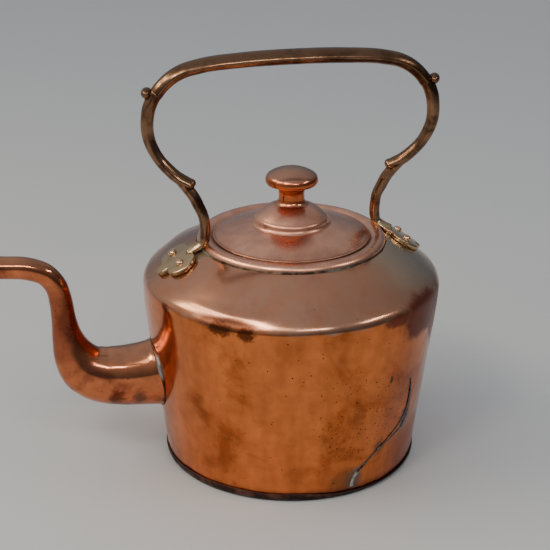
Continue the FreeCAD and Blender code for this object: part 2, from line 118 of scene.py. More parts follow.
class Outline:
    """Outline in the plane of radius and height, in millimetres, drawn with lines and arcs."""

    def __init__(self, start: Point2) -> None:
        """Start the outline at a point."""
        self.points: list[Point2] = [start]

    @classmethod
    def drawn(cls, runs: Runs) -> "Outline":
        """Draw an outline from a list of its runs.

        Args:
            runs: The start, and then the end of each straight run, or the middle and the end of each arc.

        Returns:
            The outline.
        """
        outline = cls(runs[0][0])
        for run in runs[1:]:
            if len(run) > 1:
                outline.arc(*run)
            else:
                outline.line(*run)
        return outline

    def line(self, *ends: Point2) -> "Outline":
        """Draw straight runs to one or more points."""
        self.points.extend(ends)
        return self

    def arc(self, middle: Point2, end: Point2, pieces: int = 24) -> "Outline":
        """Draw an arc through a middle point.

        Args:
            middle: Point on the arc.
            end: Where the arc ends.
            pieces: Number of chords.

        Returns:
            The outline itself.
        """
        start, mid, last = (np.array(p) for p in (self.points[-1], middle, end))
        system = 2 * np.array([mid - start, last - start])
        squares = np.array([mid @ mid - start @ start, last @ last - start @ start])
        centre = np.linalg.solve(system, squares)
        radius = np.linalg.norm(start - centre)
        angles = [math.atan2(*(p - centre)[::-1]) for p in (start, mid, last)]
        sweep = (angles[2] - angles[0]) % math.tau
        if (angles[1] - angles[0]) % math.tau > sweep:
            sweep -= math.tau
        for step in range(1, pieces + 1):
            angle = angles[0] + sweep * step / pieces
            self.points.append(tuple(centre + radius * np.array([math.cos(angle), math.sin(angle)])))
        return self

    def worn(self, softness: float, closed: bool = True, longest: float = 2.0) -> np.ndarray:
        """Resample the outline with corners rounded as by long use.

        Args:
            softness: How far the rounding reaches on each side of a corner, in millimetres.
            closed: False for an outline that runs from the axis back to the axis.
            longest: Longest step that is left, in millimetres.

        Returns:
            Rows of radius and height.
        """
        points = np.array(self.points)
        if not closed:
            flipped = points[::-1] * (-1, 1)
            points = np.concatenate([flipped[:-1], points, flipped[1:]])
            inner = len(flipped) - 1, len(flipped) - 1 + len(self.points) - 1
        loop = np.vstack([points, points[:1]]) if closed else points
        lengths = np.concatenate([[0], np.cumsum(np.linalg.norm(np.diff(loop, axis=0), axis=1))])
        step = softness / 4
        count = max(int(lengths[-1] / step), 16)
        spots = np.linspace(0, lengths[-1], count, endpoint=not closed)
        dense = np.stack([np.interp(spots, lengths, loop[:, k]) for k in (0, 1)], axis=1)
        reach = np.arange(-12, 13)
        weights = np.exp(-0.5 * (reach / 3.0) ** 2)
        weights /= weights.sum()
        padded = np.concatenate([dense[-12:], dense, dense[:12]]) if closed else np.pad(
            dense, ((12, 12), (0, 0)), mode="edge")
        soft = np.stack([np.convolve(padded[:, k], weights, mode="valid") for k in (0, 1)], axis=1)
        if not closed:
            keep = (spots >= lengths[inner[0]]) & (spots <= lengths[inner[1]])
            soft = soft[keep]
            soft[[0, -1], 0] = 0.0
        return thinned(soft, longest)


def thinned(points: np.ndarray, longest: float, turn: float = math.radians(5)) -> np.ndarray:
    """Drop points of a dense curve where it hardly bends.

    Args:
        points: Rows of the dense curve.
        longest: Longest step that may be left.
        turn: Angle that may build up before a point is kept.

    Returns:
        The rows that are kept, first and last included.
    """
    kept = [0]
    bend = 0.0
    run = 0.0
    steps = np.diff(points, axis=0)
    lengths = np.linalg.norm(steps, axis=1)
    for index in range(1, len(points) - 1):
        before, after = steps[index - 1], steps[index]
        cosine = before @ after / max(lengths[index - 1] * lengths[index], 1e-12)
        bend += math.acos(min(1.0, max(-1.0, cosine)))
        run += lengths[index - 1]
        if bend > turn or run > longest:
            kept.append(index)
            bend, run = 0.0, 0.0
    kept.append(len(points) - 1)
    return points[kept]


def make_object(name: str, vertices: np.ndarray, faces: Sequence, finishes: Sequence[bpy.types.Material],
                face_finish: np.ndarray | None = None) -> bpy.types.Object:
    """Make a smooth-shaded mesh object.

    Args:
        name: Name of the object.
        vertices: Rows of x, y and z in millimetres.
        faces: Vertex numbers of each face.
        finishes: Materials.
        face_finish: Number of the material for each face.

    Returns:
        The linked object.
    """
    mesh = bpy.data.meshes.new(name)
    mesh.from_pydata(np.asarray(vertices) * MM, [], faces)
    for finish in finishes:
        mesh.materials.append(finish)
    if face_finish is not None:
        mesh.polygons.foreach_set("material_index", face_finish.astype(np.int32))
    mesh.shade_smooth()
    mesh.validate()
    obj = bpy.data.objects.new(name, mesh)
    bpy.context.scene.collection.objects.link(obj)
    return obj


def lathe(name: str, rows: np.ndarray, finishes: Sequence[bpy.types.Material], closed: bool = True,
          sides: int = 320, lining: Callable[[np.ndarray], np.ndarray] | None = None,
          shift: Field | None = None) -> bpy.types.Object:
    """Turn an outline about the kettle's axis.

    Args:
        name: Name of the object.
        rows: Radius and height of each ring.
        finishes: Materials.
        closed: True if the outline closes on itself; False if it starts and ends on the axis.
        sides: Number of steps round the axis.
        lining: From the rows, which rings take the second finish.
        shift: From vertices to how far each one moves.

    Returns:
        The turned object.
    """
    turn = np.arange(sides) / sides * math.tau
    radii, heights = rows[:, 0], rows[:, 1]
    count = len(rows)
    x = np.outer(radii, np.cos(turn))
    y = np.outer(radii, np.sin(turn))
    z = np.repeat(heights[:, None], sides, axis=1)
    vertices = np.stack([x, y, z], axis=-1).reshape(-1, 3)
    if shift is not None:
        vertices = vertices + shift(vertices)
    rings = np.arange(count if closed else count - 1)
    ring, side = np.meshgrid(rings, np.arange(sides), indexing="ij")
    after, beside = (ring + 1) % count, (side + 1) % sides
    faces = np.stack([ring * sides + side, ring * sides + beside, after * sides + beside,
                      after * sides + side], axis=-1).reshape(-1, 4)
    choice = None
    if lining is not None:
        choice = np.repeat(lining(rows)[rings], sides)
    obj = make_object(name, vertices, faces, finishes, choice)
    tidy_mesh(obj)
    return obj


def tidy_mesh(obj: bpy.types.Object, merge: float = 1e-6) -> None:
    """Merge doubled vertices and point all faces outwards.

    Args:
        obj: Closed mesh object.
        merge: Distance under which vertices are merged, in metres.
    """
    work = bmesh.new()
    work.from_mesh(obj.data)
    bmesh.ops.remove_doubles(work, verts=work.verts, dist=merge)
    bmesh.ops.dissolve_degenerate(work, edges=work.edges, dist=merge)
    bmesh.ops.recalc_face_normals(work, faces=work.faces)
    work.to_mesh(obj.data)
    work.free()
    obj.data.shade_smooth()


def smooth_rows(stations: Sequence[Sequence[float]], step: float) -> np.ndarray:
    """Pass a smooth curve through stations, all of their numbers alike.

    Args:
        stations: Rows whose first three numbers are a place in millimetres.
        step: Distance between the new rows.

    Returns:
        Closely spaced rows.
    """
    rows = np.array(stations, dtype=float)
    gaps = np.linalg.norm(np.diff(rows[:, :3], axis=0), axis=1)
    knots = np.concatenate([[0], np.cumsum(gaps)])
    slopes = np.gradient(rows, knots, axis=0, edge_order=2)
    spots = np.linspace(0, knots[-1], max(int(knots[-1] / step), 4))
    index = np.clip(np.searchsorted(knots, spots, side="right") - 1, 0, len(gaps) - 1)
    gap = gaps[index][:, None]
    t = ((spots - knots[index])[:, None]) / gap
    return ((2 * t**3 - 3 * t**2 + 1) * rows[index] + (t**3 - 2 * t**2 + t) * gap * slopes[index]
            + (3 * t**2 - 2 * t**3) * rows[index + 1] + (t**3 - t**2) * gap * slopes[index + 1])


def turned_about_axis(vertices: np.ndarray, degrees: float) -> np.ndarray:
    """Turn points about the kettle's axis.

    Args:
        vertices: Rows of x, y and z.
        degrees: Angle, counted from +X towards +Y.

    Returns:
        The turned points.
    """
    angle = math.radians(degrees)
    cosine, sine = math.cos(angle), math.sin(angle)
    return vertices @ np.array([[cosine, sine, 0], [-sine, cosine, 0], [0, 0, 1]])


def waves(points: np.ndarray, length: float, seed: int, count: int = 24) -> np.ndarray:
    """Smooth random hills of about the same size everywhere.

    Args:
        points: Rows of x, y and z in millimetres.
        length: Typical distance from hill to hill, in millimetres.
        seed: Fixed seed.
        count: Number of sine waves that are added.

    Returns:
        Height of the hills at each point, about -1 to 1.
    """
    rng = np.random.default_rng(seed)
    directions = rng.normal(size=(count, 3))
    directions /= np.linalg.norm(directions, axis=1)[:, None]
    pace = math.tau / (length * rng.uniform(0.7, 1.6, count))
    phase = rng.uniform(0, math.tau, count)
    return np.sin(points @ (directions * pace[:, None]).T + phase).sum(axis=1) / math.sqrt(count)


def mark_wear(obj: bpy.types.Object, rounds: int = 3) -> None:
    """Store how far each vertex stands out and how much it faces up, for the finishes to wear, to soil, and
    to tint with a painted reflection of the room above.

    Args:
        obj: Mesh object.
        rounds: How many times the result is spread to the neighbours.
    """
    mesh = obj.data
    count = len(mesh.vertices)
    places = np.empty(count * 3)
    normals = np.empty(count * 3)
    mesh.vertices.foreach_get("co", places)
    mesh.vertices.foreach_get("normal", normals)
    places, normals = places.reshape(-1, 3), normals.reshape(-1, 3)
    ends = np.empty(len(mesh.edges) * 2, np.int64)
    mesh.edges.foreach_get("vertices", ends)
    a, b = ends.reshape(-1, 2).T
    reach = places[b] - places[a]
    length = np.linalg.norm(reach, axis=1) + 1e-9
    number = np.bincount(a, minlength=count) + np.bincount(b, minlength=count)
    slope_a = -(reach * normals[a]).sum(axis=1) / length**2
    slope_b = (reach * normals[b]).sum(axis=1) / length**2
    rise = np.bincount(a, slope_a, count) + np.bincount(b, slope_b, count)
    rise /= np.maximum(number, 1)
    for _ in range(rounds):
        spread = np.bincount(a, rise[b], count) + np.bincount(b, rise[a], count)
        rise = 0.5 * rise + 0.5 * spread / np.maximum(number, 1)
    wear = np.clip(0.5 + rise * MM * WEAR_GAIN, 0, 1)
    for label, values in (("wear", wear), ("upward", normals[:, 2])):
        attribute = mesh.attributes.new(label, "FLOAT", "POINT")
        attribute.data.foreach_set("value", values.astype(np.float32))


# ---- Geometry node trees ----------------------------------------------------------------------------------


class NodeTree:
    """Base of the geometry node trees: inputs by name, and growing a plain mesh from a carrier."""

    def __init__(self, name: str, sockets: Sequence[tuple[str, str]]) -> None:
        """Make the tree with its named inputs.

        Args:
            name: Name of the tree.
            sockets: Name and socket type of each input, the geometry first.
        """
        self.tree = bpy.data.node_groups.new(name, "GeometryNodeTree")
        self.identifiers: dict[str, str] = {}
        for label, kind in sockets:
            socket_type = f"NodeSocket{kind}"
            socket = self.tree.interface.new_socket(label, in_out="INPUT", socket_type=socket_type)
            self.identifiers[label] = socket.identifier
        self.tree.interface.new_socket("Result", in_out="OUTPUT", socket_type="NodeSocketGeometry")
        self.inputs = self.tree.nodes.new("NodeGroupInput").outputs

    def add(self, kind: str, inputs: dict | None = None, output: str | int = 0, **settings) -> Socket:
        """Add a node to this tree, as the function of the same name does."""
        return add(self.tree, kind, inputs, output, **settings)

    def close(self, geometry: Socket) -> None:
        """End the tree: shade smooth, realise the instances and set the material.

        Args:
            geometry: Geometry that the tree has made.
        """
        smooth = self.add("GeometryNodeSetShadeSmooth", {"Geometry": geometry})
        real = self.add("GeometryNodeRealizeInstances", {"Geometry": smooth})
        dressed = self.add("GeometryNodeSetMaterial", {"Geometry": real, "Material": self.inputs["Material"]})
        self.add("NodeGroupOutput", {0: dressed})

    def grow(self, name: str, carrier: bpy.types.Object, values: dict[str, object]) -> bpy.types.Object:
        """Run the tree on a carrier and keep the result as a plain mesh.

        Args:
            name: Name of the new object.
            carrier: Object whose mesh is the tree's geometry. It is removed.
            values: Input name to value.

        Returns:
            The new object.
        """
        modifier = carrier.modifiers.new("grow", "NODES")
        modifier.node_group = self.tree
        for label, value in values.items():
            modifier[self.identifiers[label]] = value
        bpy.context.view_layer.update()
        evaluated = carrier.evaluated_get(bpy.context.evaluated_depsgraph_get())
        mesh = bpy.data.meshes.new_from_object(evaluated)
        bpy.data.objects.remove(carrier)
        mesh.name = name
        obj = bpy.data.objects.new(name, mesh)
        bpy.context.scene.collection.objects.link(obj)
        tidy_mesh(obj)
        return obj


class BarTree(NodeTree):
    """Bar or bead along a path, whose vertices hold the section's size and its sideways direction."""

    def __init__(self) -> None:
        """Build the tree."""
        super().__init__("bar_along_path", [
            ("Path", "Geometry"), ("Sides", "Int"), ("Crispness", "Float"), ("Unevenness", "Float"),
            ("Lump Size", "Float"), ("Seed", "Float"), ("Fill Ends", "Bool"), ("Material", "Material")])
        read, number, vector = "GeometryNodeInputNamedAttribute", "ShaderNodeMath", "ShaderNodeVectorMath"
        # Path and profile, with what each of them passes on to the tube
        curve = self.add("GeometryNodeMeshToCurve", {0: self.inputs["Path"]})
        path = self.add("GeometryNodeCaptureAttribute", {"Geometry": curve}).node
        path.capture_items.new("VECTOR", "Place")
        path.capture_items.new("VECTOR", "Tangent")
        self.tree.links.new(self.add("GeometryNodeInputPosition"), path.inputs["Place"])
        self.tree.links.new(self.add("GeometryNodeInputTangent"), path.inputs["Tangent"])
        circle = self.add("GeometryNodeCurvePrimitiveCircle", {
            "Resolution": self.inputs["Sides"], "Radius": MM})
        ring = self.add("GeometryNodeCaptureAttribute", {"Geometry": circle}).node
        ring.capture_items.new("FLOAT", "Turn")
        self.tree.links.new(self.add("GeometryNodeSplineParameter", output="Factor"), ring.inputs["Turn"])
        tube = self.add("GeometryNodeCurveToMesh", {
            "Curve": path.outputs["Geometry"], "Profile Curve": ring.outputs["Geometry"],
            "Fill Caps": self.inputs["Fill Ends"]})
        # Section: an ellipse whose crowns may be sharpened
        angle = self.add(number, {0: ring.outputs["Turn"], 1: math.tau}, operation="MULTIPLY")
        sine = self.add(number, {0: angle}, operation="SINE")
        power = self.add(number, {0: self.inputs["Crispness"], 1: 1.0}, operation="ADD")
        size = self.add(number, {0: sine}, operation="ABSOLUTE")
        size = self.add(number, {0: size, 1: power}, operation="POWER")
        sign = self.add(number, {0: sine}, operation="SIGN")
        crest = self.add(number, {0: size, 1: sign}, operation="MULTIPLY")
        across = self.add(read, {"Name": "across"}, data_type="FLOAT_VECTOR")
        upward = self.add(vector, {0: across, 1: path.outputs["Tangent"]}, operation="CROSS_PRODUCT")
        tall = self.add(number, {0: crest, 1: self.add(read, {"Name": "half_tall"}, data_type="FLOAT")},
                        operation="MULTIPLY")
        wide = self.add(number, {0: self.add(number, {0: angle}, operation="COSINE"),
                                 1: self.add(read, {"Name": "half_wide"}, data_type="FLOAT")},
                        operation="MULTIPLY")
        rise = self.add(vector, {0: upward, "Scale": tall}, operation="SCALE")
        aside = self.add(vector, {0: across, "Scale": wide}, operation="SCALE")
        offset = self.add(vector, {0: rise, 1: aside}, operation="ADD")
        place = self.add(vector, {0: path.outputs["Place"], 1: offset}, operation="ADD")
        # Lumps that push the surface in and out
        pace = self.add(number, {0: 1.0, 1: self.inputs["Lump Size"]}, operation="DIVIDE")
        lumps = self.add("ShaderNodeTexNoise", {"Vector": place, "W": self.inputs["Seed"], "Scale": pace,
                                                "Detail": 3.0}, noise_dimensions="4D")
        swell = self.add(number, {0: self.add(number, {0: lumps, 1: 0.5}, operation="SUBTRACT"),
                                  1: self.inputs["Unevenness"]}, operation="MULTIPLY")
        outward = self.add(vector, {0: self.add(vector, {0: offset}, operation="NORMALIZE"), "Scale": swell},
                           operation="SCALE")
        place = self.add(vector, {0: place, 1: outward}, operation="ADD")
        self.close(self.add("GeometryNodeSetPosition", {"Geometry": tube, "Position": place}))

    def bar(self, name: str, rows: np.ndarray, across: np.ndarray, finish: bpy.types.Material,
            sides: int = 48, crispness: float = 0.0, unevenness: float = 0.0, lump_mm: float = 3.0,
            seed: float = 0.0, closed: bool = False) -> bpy.types.Object:
        """Make a bar along a path.

        Args:
            name: Name of the object.
            rows: x, y, z, half height and half width at each point of the path, in millimetres.
            across: Direction of the width, one for all points or one for each.
            finish: Material.
            sides: Steps round the section.
            crispness: 0 for an oval section, 1 for two crowns that meet in an edge.
            unevenness: Height of the lumps, in millimetres.
            lump_mm: Size of the lumps, in millimetres.
            seed: Seed of the lumps.
            closed: True if the path is a loop.

        Returns:
            The bar as a plain mesh object.
        """
        count = len(rows)
        edges = [(i, (i + 1) % count) for i in range(count if closed else count - 1)]
        mesh = bpy.data.meshes.new(f"{name}_path")
        mesh.from_pydata(rows[:, :3] * MM, edges, [])
        for label, values in (("half_tall", rows[:, 3]), ("half_wide", rows[:, 4])):
            attribute = mesh.attributes.new(label, "FLOAT", "POINT")
            attribute.data.foreach_set("value", (values * MM).astype(np.float32))
        directions = np.broadcast_to(across, (count, 3)).astype(np.float32)
        attribute = mesh.attributes.new("across", "FLOAT_VECTOR", "POINT")
        attribute.data.foreach_set("vector", directions.ravel())
        carrier = bpy.data.objects.new(f"{name}_path", mesh)
        bpy.context.scene.collection.objects.link(carrier)
        return self.grow(name, carrier, {
            "Sides": sides, "Crispness": crispness, "Unevenness": unevenness * MM * 2,
            "Lump Size": lump_mm * MM, "Seed": seed, "Fill Ends": not closed, "Material": finish})


class RivetTree(NodeTree):
    """The same small piece at each vertex of a mesh, stood along the direction that the vertex holds."""

    def __init__(self) -> None:
        """Build the tree."""
        super().__init__("piece_at_points", [
            ("Points", "Geometry"), ("Piece", "Object"), ("Size Spread", "Float"), ("Seed", "Int"),
            ("Material", "Material")])
        number = "ShaderNodeMath"
        piece = self.add("GeometryNodeObjectInfo", {"Object": self.inputs["Piece"]}, "Geometry")
        axis = self.add("GeometryNodeInputNamedAttribute", {"Name": "axis"}, data_type="FLOAT_VECTOR")
        stand = self.add("FunctionNodeAlignRotationToVector", {"Vector": axis}, axis="Z")
        low = self.add(number, {0: 1.0, 1: self.inputs["Size Spread"]}, operation="SUBTRACT")
        high = self.add(number, {0: 1.0, 1: self.inputs["Size Spread"]}, operation="ADD")
        size = self.add("FunctionNodeRandomValue", {2: low, 3: high, "Seed": self.inputs["Seed"]}, 1,
                        data_type="FLOAT")
        self.close(self.add("GeometryNodeInstanceOnPoints", {
            "Points": self.inputs["Points"], "Instance": piece, "Rotation": stand, "Scale": size}))

    def repeat(self, name: str, piece: bpy.types.Object, places: np.ndarray, axes: np.ndarray,
               finish: bpy.types.Material, spread: float, seed: int) -> bpy.types.Object:
        """Put the piece at each place.

        Args:
            name: Name of the object.
            piece: The piece, its own axis along Z.
            places: Rows of x, y and z in millimetres.
            axes: Direction of each piece's axis.
            finish: Material.
            spread: Share by which the sizes vary.
            seed: Seed of that variation.

        Returns:
            All pieces as one plain mesh object.
        """
        mesh = bpy.data.meshes.new(f"{name}_points")
        mesh.from_pydata(places * MM, [], [])
        attribute = mesh.attributes.new("axis", "FLOAT_VECTOR", "POINT")
        attribute.data.foreach_set("vector", axes.astype(np.float32).ravel())
        carrier = bpy.data.objects.new(f"{name}_points", mesh)
        bpy.context.scene.collection.objects.link(carrier)
        return self.grow(name, carrier, {"Piece": piece, "Size Spread": spread, "Seed": seed,
                                         "Material": finish})


# ---- Finishes ---------------------------------------------------------------------------------------------


@dataclass(frozen=True)
class FilmAndPaintedLight:
    """Band of colour between two heights: tarnish, soot and verdigris, and also painted reflections of the
    room.
    """

    colour: str
    start: float  # height at which it starts to show, in millimetres
    full: float  # height at which it covers fully
    cover: float = 1.0
    patch_mm: float = 12.0  # size of the patches that break its edge
    ragged_mm: float = 3.0  # how far its edge wanders up and down
    metallic: float = 1.0
    roughness: float = 0.4


@dataclass(frozen=True)
class StainAndPaintedLight:
    """Single spot with a ragged edge: tarnish, soot and spilt flux, and also painted reflections and painted
    shade.
    """

    centre: tuple[float, float, float]
    reach_mm: float
    colour: str
    cover: float = 0.8
    tall: float = 1.0  # its height over its width
    ragged_mm: float = 4.0
    patch_mm: float = 7.0
    metallic: float = 1.0
    roughness: float = 0.3
    core: float = 0.4  # share of the reach that is covered fully


@dataclass(frozen=True)
class Pits:
    """Cluster of small dark corrosion pits."""

    centre: tuple[float, float, float]
    reach_mm: float
    size_mm: float
    spacing_mm: float
    colour: str = "2a1508"


@dataclass(frozen=True)
class AgedMetal:
    """Old metal that was polished by hand for years and has tarnished since.

    The bright metal shows where a cloth reaches, a thin brown film clouds the rest, and grime stays in the
    hollows. Cloths and grit leave hairlines, and the planishing hammer leaves shallow dimples. Some bands and
    spots, and part of the tint on what faces up, are painted reflections and painted shade of the room.
    """

    name: str
    bright: str  # metal where the polish reached
    dull: str  # under its film
    dark: str  # grime in hollows
    dullness: float = 0.5  # share of the surface under the film
    gloss: tuple[float, float] = (0.16, 0.34)  # roughness of the bright and of the dull metal
    cloud_mm: float = 38.0  # size of the film's clouds
    dimple_mm: float = 9.0  # planishing marks
    dimple_depth_mm: float = 0.02
    grain_mm: float = 0.7  # finest texture
    grain_depth_mm: float = 0.004
    hairline_mm: float = 1.6  # spacing of the hairlines
    hairlines: float = 0.5  # how strongly they show
    hairline_depth_mm: float = 0.0035
    wear: float = 0.6  # how strongly edges shine and hollows darken
    smears: float = 0.0  # strength of the upright smears that wiping leaves
    smear_mm: float = 14.0  # width of those smears
    dust_and_ceiling_tint: str | None = None  # dusty grease on what faces up, partly a painted reflection of the dim room above
    dust_and_ceiling_cover: float = 0.8
    films_and_painted_light: tuple[FilmAndPaintedLight, ...] = ()
    stains_and_painted_light: tuple[StainAndPaintedLight, ...] = ()
    pits: tuple[Pits, ...] = ()

    def make(self) -> bpy.types.Material:
        """Write the node material."""
        return MetalTree(self).written()


class MetalTree:
    """Shader tree of an old metal, written layer by layer from the bare metal outwards."""

    edge_gain: float = 4.0  # a noise seldom leaves the middle quarter of its range on either side

    def __init__(self, metal: AgedMetal) -> None:
        """Start the tree of a metal, with its bright and its dull patches.

        Args:
            metal: The metal.
        """
        self.metal = metal
        self.material = bpy.data.materials.new(metal.name)
        self.material.use_nodes = True
        self.tree = self.material.node_tree
        self.tree.nodes.clear()
        self.place = self.add("ShaderNodeTexCoord", output="Object")
        self.height = self.add("ShaderNodeSeparateXYZ", {0: self.place}, "Z")
        clouds = self.add("ShaderNodeTexNoise", {
            "Vector": self.place, "Scale": 1 / (metal.cloud_mm * MM), "Detail": 5.0, "Roughness": 0.62,
            "Distortion": 0.4})
        reach = 0.66 - 0.4 * metal.dullness
        film = self.add("ShaderNodeMapRange", {
            "Value": clouds, "From Min": reach, "From Max": reach + 0.2}, interpolation_type="SMOOTHSTEP")
        low, high = metal.gloss
        self.colour = self.add("ShaderNodeMix", {0: film, 6: linear(metal.bright), 7: linear(metal.dull)}, 2,
                               data_type="RGBA")
        self.rough = self.add("ShaderNodeMapRange", {"Value": film, "To Min": low, "To Max": high})
        self.metallic: Socket | float = 1.0

    def add(self, kind: str, inputs: dict | None = None, output: str | int = 0, **settings) -> Socket:
        """Add a node to this tree, as the function of the same name does."""
        return add(self.tree, kind, inputs, output, **settings)

    def tint(self, texture: Socket, reach: Point2, strength: Point2) -> None:
        """Darken and lighten the colour by a texture.

        Args:
            texture: Values that say where.
            reach: Values at which it is darkest and lightest.
            strength: What the colour is multiplied by there.
        """
        factor = self.add("ShaderNodeMapRange", {
            "Value": texture, "From Min": reach[0], "From Max": reach[1], "To Min": strength[0],
            "To Max": strength[1]})
        self.colour = self.add("ShaderNodeVectorMath", {0: self.colour, "Scale": factor}, operation="SCALE")

    def cover(self, share: Socket, colour: str, roughness: float, metallic: float = 1.0) -> None:
        """Lay a film over what is there.

        Args:
            share: How far it covers, from 0 to 1.
            colour: Its colour.
            roughness: Its roughness.
            metallic: How metallic it is.
        """
        self.colour = self.add("ShaderNodeMix", {0: share, 6: self.colour, 7: linear(colour)}, 2,
                               data_type="RGBA")
        self.rough = self.add("ShaderNodeMix", {0: share, 2: self.rough, 3: roughness})
        if metallic < 1:
            self.metallic = self.add("ShaderNodeMix", {0: share, 2: self.metallic, 3: metallic})

    def ragged(self, wander: Socket, ragged_mm: float, away: Socket) -> Socket:
        """Make the edge of a layer wander.

        Args:
            wander: Noise that moves the edge.
            ragged_mm: How far the edge wanders.
            away: Distance or height that the edge follows, in metres.

        Returns:
            That distance with the noise on it.
        """
        lift = self.add("ShaderNodeMath", {0: wander, 1: -0.5}, operation="ADD")
        return self.add("ShaderNodeMath", {0: lift, 1: ragged_mm * self.edge_gain * MM, 2: away},
                        operation="MULTIPLY_ADD")

    def mottle(self) -> None:
        """Mottle the metal with skin grease and dried polish, and draw the upright smears of wiping."""
        spots = self.add("ShaderNodeTexNoise", {
            "Vector": self.place, "Scale": 1 / (self.metal.cloud_mm * 0.22 * MM), "Detail": 4.0})
        self.tint(spots, (0.35, 0.7), (0.88, 1.1))
        if self.metal.smears:
            upright = self.add("ShaderNodeVectorMath", {0: self.place, 1: (1, 1, 0.16)}, operation="MULTIPLY")
            smears = self.add("ShaderNodeTexNoise", {
                "Vector": upright, "Scale": 1 / (self.metal.smear_mm * MM), "Detail": 4.0, "Roughness": 0.5})
            self.tint(smears, (0.3, 0.7), (1 - self.metal.smears, 1 + self.metal.smears * 0.4))

    def lay_dust_and_ceiling_tint(self) -> None:
        """Let dusty grease settle on what faces up, and paint there part of the reflection of the dim room
        above.
        """
        if self.metal.dust_and_ceiling_tint:
            facing = self.add("ShaderNodeAttribute", output="Fac", attribute_name="upward")
            share = self.add("ShaderNodeMapRange", {
                "Value": facing, "From Min": 0.25, "From Max": 0.85, "To Max": self.metal.dust_and_ceiling_cover},
                interpolation_type="SMOOTHSTEP")
            self.cover(share, self.metal.dust_and_ceiling_tint, self.metal.gloss[1])

    def film(self, layer: FilmAndPaintedLight) -> None:
        """Lay a band of colour between two heights; on the shoulder it is partly a painted reflection.

        Args:
            layer: The film.
        """
        wander = self.add("ShaderNodeTexNoise", {
            "Vector": self.place, "Scale": 1 / (layer.patch_mm * MM), "Detail": 5.0, "Roughness": 0.6})
        edge = self.ragged(wander, layer.ragged_mm, self.height)
        share = self.add("ShaderNodeMapRange", {
            "Value": edge, "From Min": layer.start * MM, "From Max": layer.full * MM, "To Max": layer.cover},
            interpolation_type="SMOOTHSTEP")
        patchy = self.add("ShaderNodeMapRange", {
            "Value": wander, "From Min": 0.3, "From Max": 0.6, "To Min": 0.7})
        share = self.add("ShaderNodeMath", {0: share, 1: patchy}, operation="MULTIPLY")
        self.cover(share, layer.colour, layer.roughness, layer.metallic)

    def lay_stain_and_painted_light(self, spot: StainAndPaintedLight) -> None:
        """Lay a single spot of tarnish, soot or flux; some spots are painted reflections and painted shade
        instead.

        Args:
            spot: The spot.
        """
        gap = self.add("ShaderNodeVectorMath", {0: self.place, 1: [c * MM for c in spot.centre]},
                       operation="SUBTRACT")
        gap = self.add("ShaderNodeVectorMath", {0: gap, 1: (1, 1, 1 / spot.tall)}, operation="MULTIPLY")
        away = self.add("ShaderNodeVectorMath", {0: gap}, "Value", operation="LENGTH")
        wander = self.add("ShaderNodeTexNoise", {
            "Vector": self.place, "Scale": 1 / (spot.patch_mm * MM), "Detail": 5.0, "Roughness": 0.62})
        edge = self.ragged(wander, spot.ragged_mm, away)
        share = self.add("ShaderNodeMapRange", {
            "Value": edge, "From Min": spot.reach_mm * MM, "From Max": spot.reach_mm * spot.core * MM,
            "To Max": spot.cover}, interpolation_type="SMOOTHSTEP")
        self.cover(share, spot.colour, spot.roughness, spot.metallic)

    def wear(self) -> None:
        """Leave grime in the hollows, and rub the edges bright as hands and cloths do."""
        metal = self.metal
        standing = self.add("ShaderNodeAttribute", output="Fac", attribute_name="wear")
        hollow = self.add("ShaderNodeMapRange", {
            "Value": standing, "From Min": 0.47, "From Max": 0.3, "To Max": metal.wear},
            interpolation_type="SMOOTHSTEP")
        self.cover(hollow, metal.dark, 0.6)
        rubbed = self.add("ShaderNodeMapRange", {
            "Value": standing, "From Min": 0.56, "From Max": 0.85, "To Max": metal.wear * 0.7},
            interpolation_type="SMOOTHSTEP")
        self.cover(rubbed, metal.bright, metal.gloss[0])

    def pit(self, cluster: Pits) -> None:
        """Scatter a cluster of corrosion pits.

        Args:
            cluster: The cluster.
        """
        cell = self.add("ShaderNodeTexVoronoi", {
            "Vector": self.place, "Scale": 1 / (cluster.spacing_mm * MM)})
        chance = self.add("ShaderNodeSeparateColor", {0: cell.node.outputs["Color"]})
        away = self.add("ShaderNodeVectorMath", {0: self.place, 1: [c * MM for c in cluster.centre]}, 1,
                        operation="DISTANCE")
        near = self.add("ShaderNodeMapRange", {
            "Value": away, "From Min": cluster.reach_mm * MM, "From Max": cluster.reach_mm * 0.5 * MM})
        size = self.add("ShaderNodeMath", {0: chance, 1: 1.4}, operation="POWER")
        size = self.add("ShaderNodeMath", {0: size, 1: near}, operation="MULTIPLY")
        limit = self.add("ShaderNodeMath", {0: size, 1: cluster.size_mm / cluster.spacing_mm},
                         operation="MULTIPLY")
        floor = self.add("ShaderNodeMath", {0: limit, 1: 0.55}, operation="MULTIPLY")
        inside = self.add("ShaderNodeMapRange", {"Value": cell, "From Min": limit, "From Max": floor})
        self.cover(inside, cluster.colour, 0.7)

    def hairlines(self) -> Socket:
        """Draw hairlines along three directions, and let them vary the gloss.

        Returns:
            The hairlines.
        """
        metal = self.metal
        lines = None
        for turn, stretch in (((0.2, 0.1, 0.0), (1, 1, 16)), ((0.5, 0.9, 0.3), (1, 14, 1)),
                              ((1.2, 0.2, 0.9), (16, 1, 1))):
            drawn = self.add("ShaderNodeMapping", {
                "Vector": self.place, "Rotation": turn, "Scale": stretch})
            grain = self.add("ShaderNodeTexNoise", {
                "Vector": drawn, "Scale": 0.06 / (metal.hairline_mm * MM), "Detail": 6.0, "Roughness": 0.75})
            lines = grain if lines is None else self.add("ShaderNodeMath", {0: lines, 1: grain},
                                                         operation="ADD")
        spread = self.add("ShaderNodeMapRange", {
            "Value": lines, "From Min": 1.2, "From Max": 1.8, "To Min": -0.06 * metal.hairlines,
            "To Max": 0.08 * metal.hairlines})
        self.rough = self.add("ShaderNodeMath", {0: self.rough, 1: spread}, operation="ADD", use_clamp=True)
        return lines

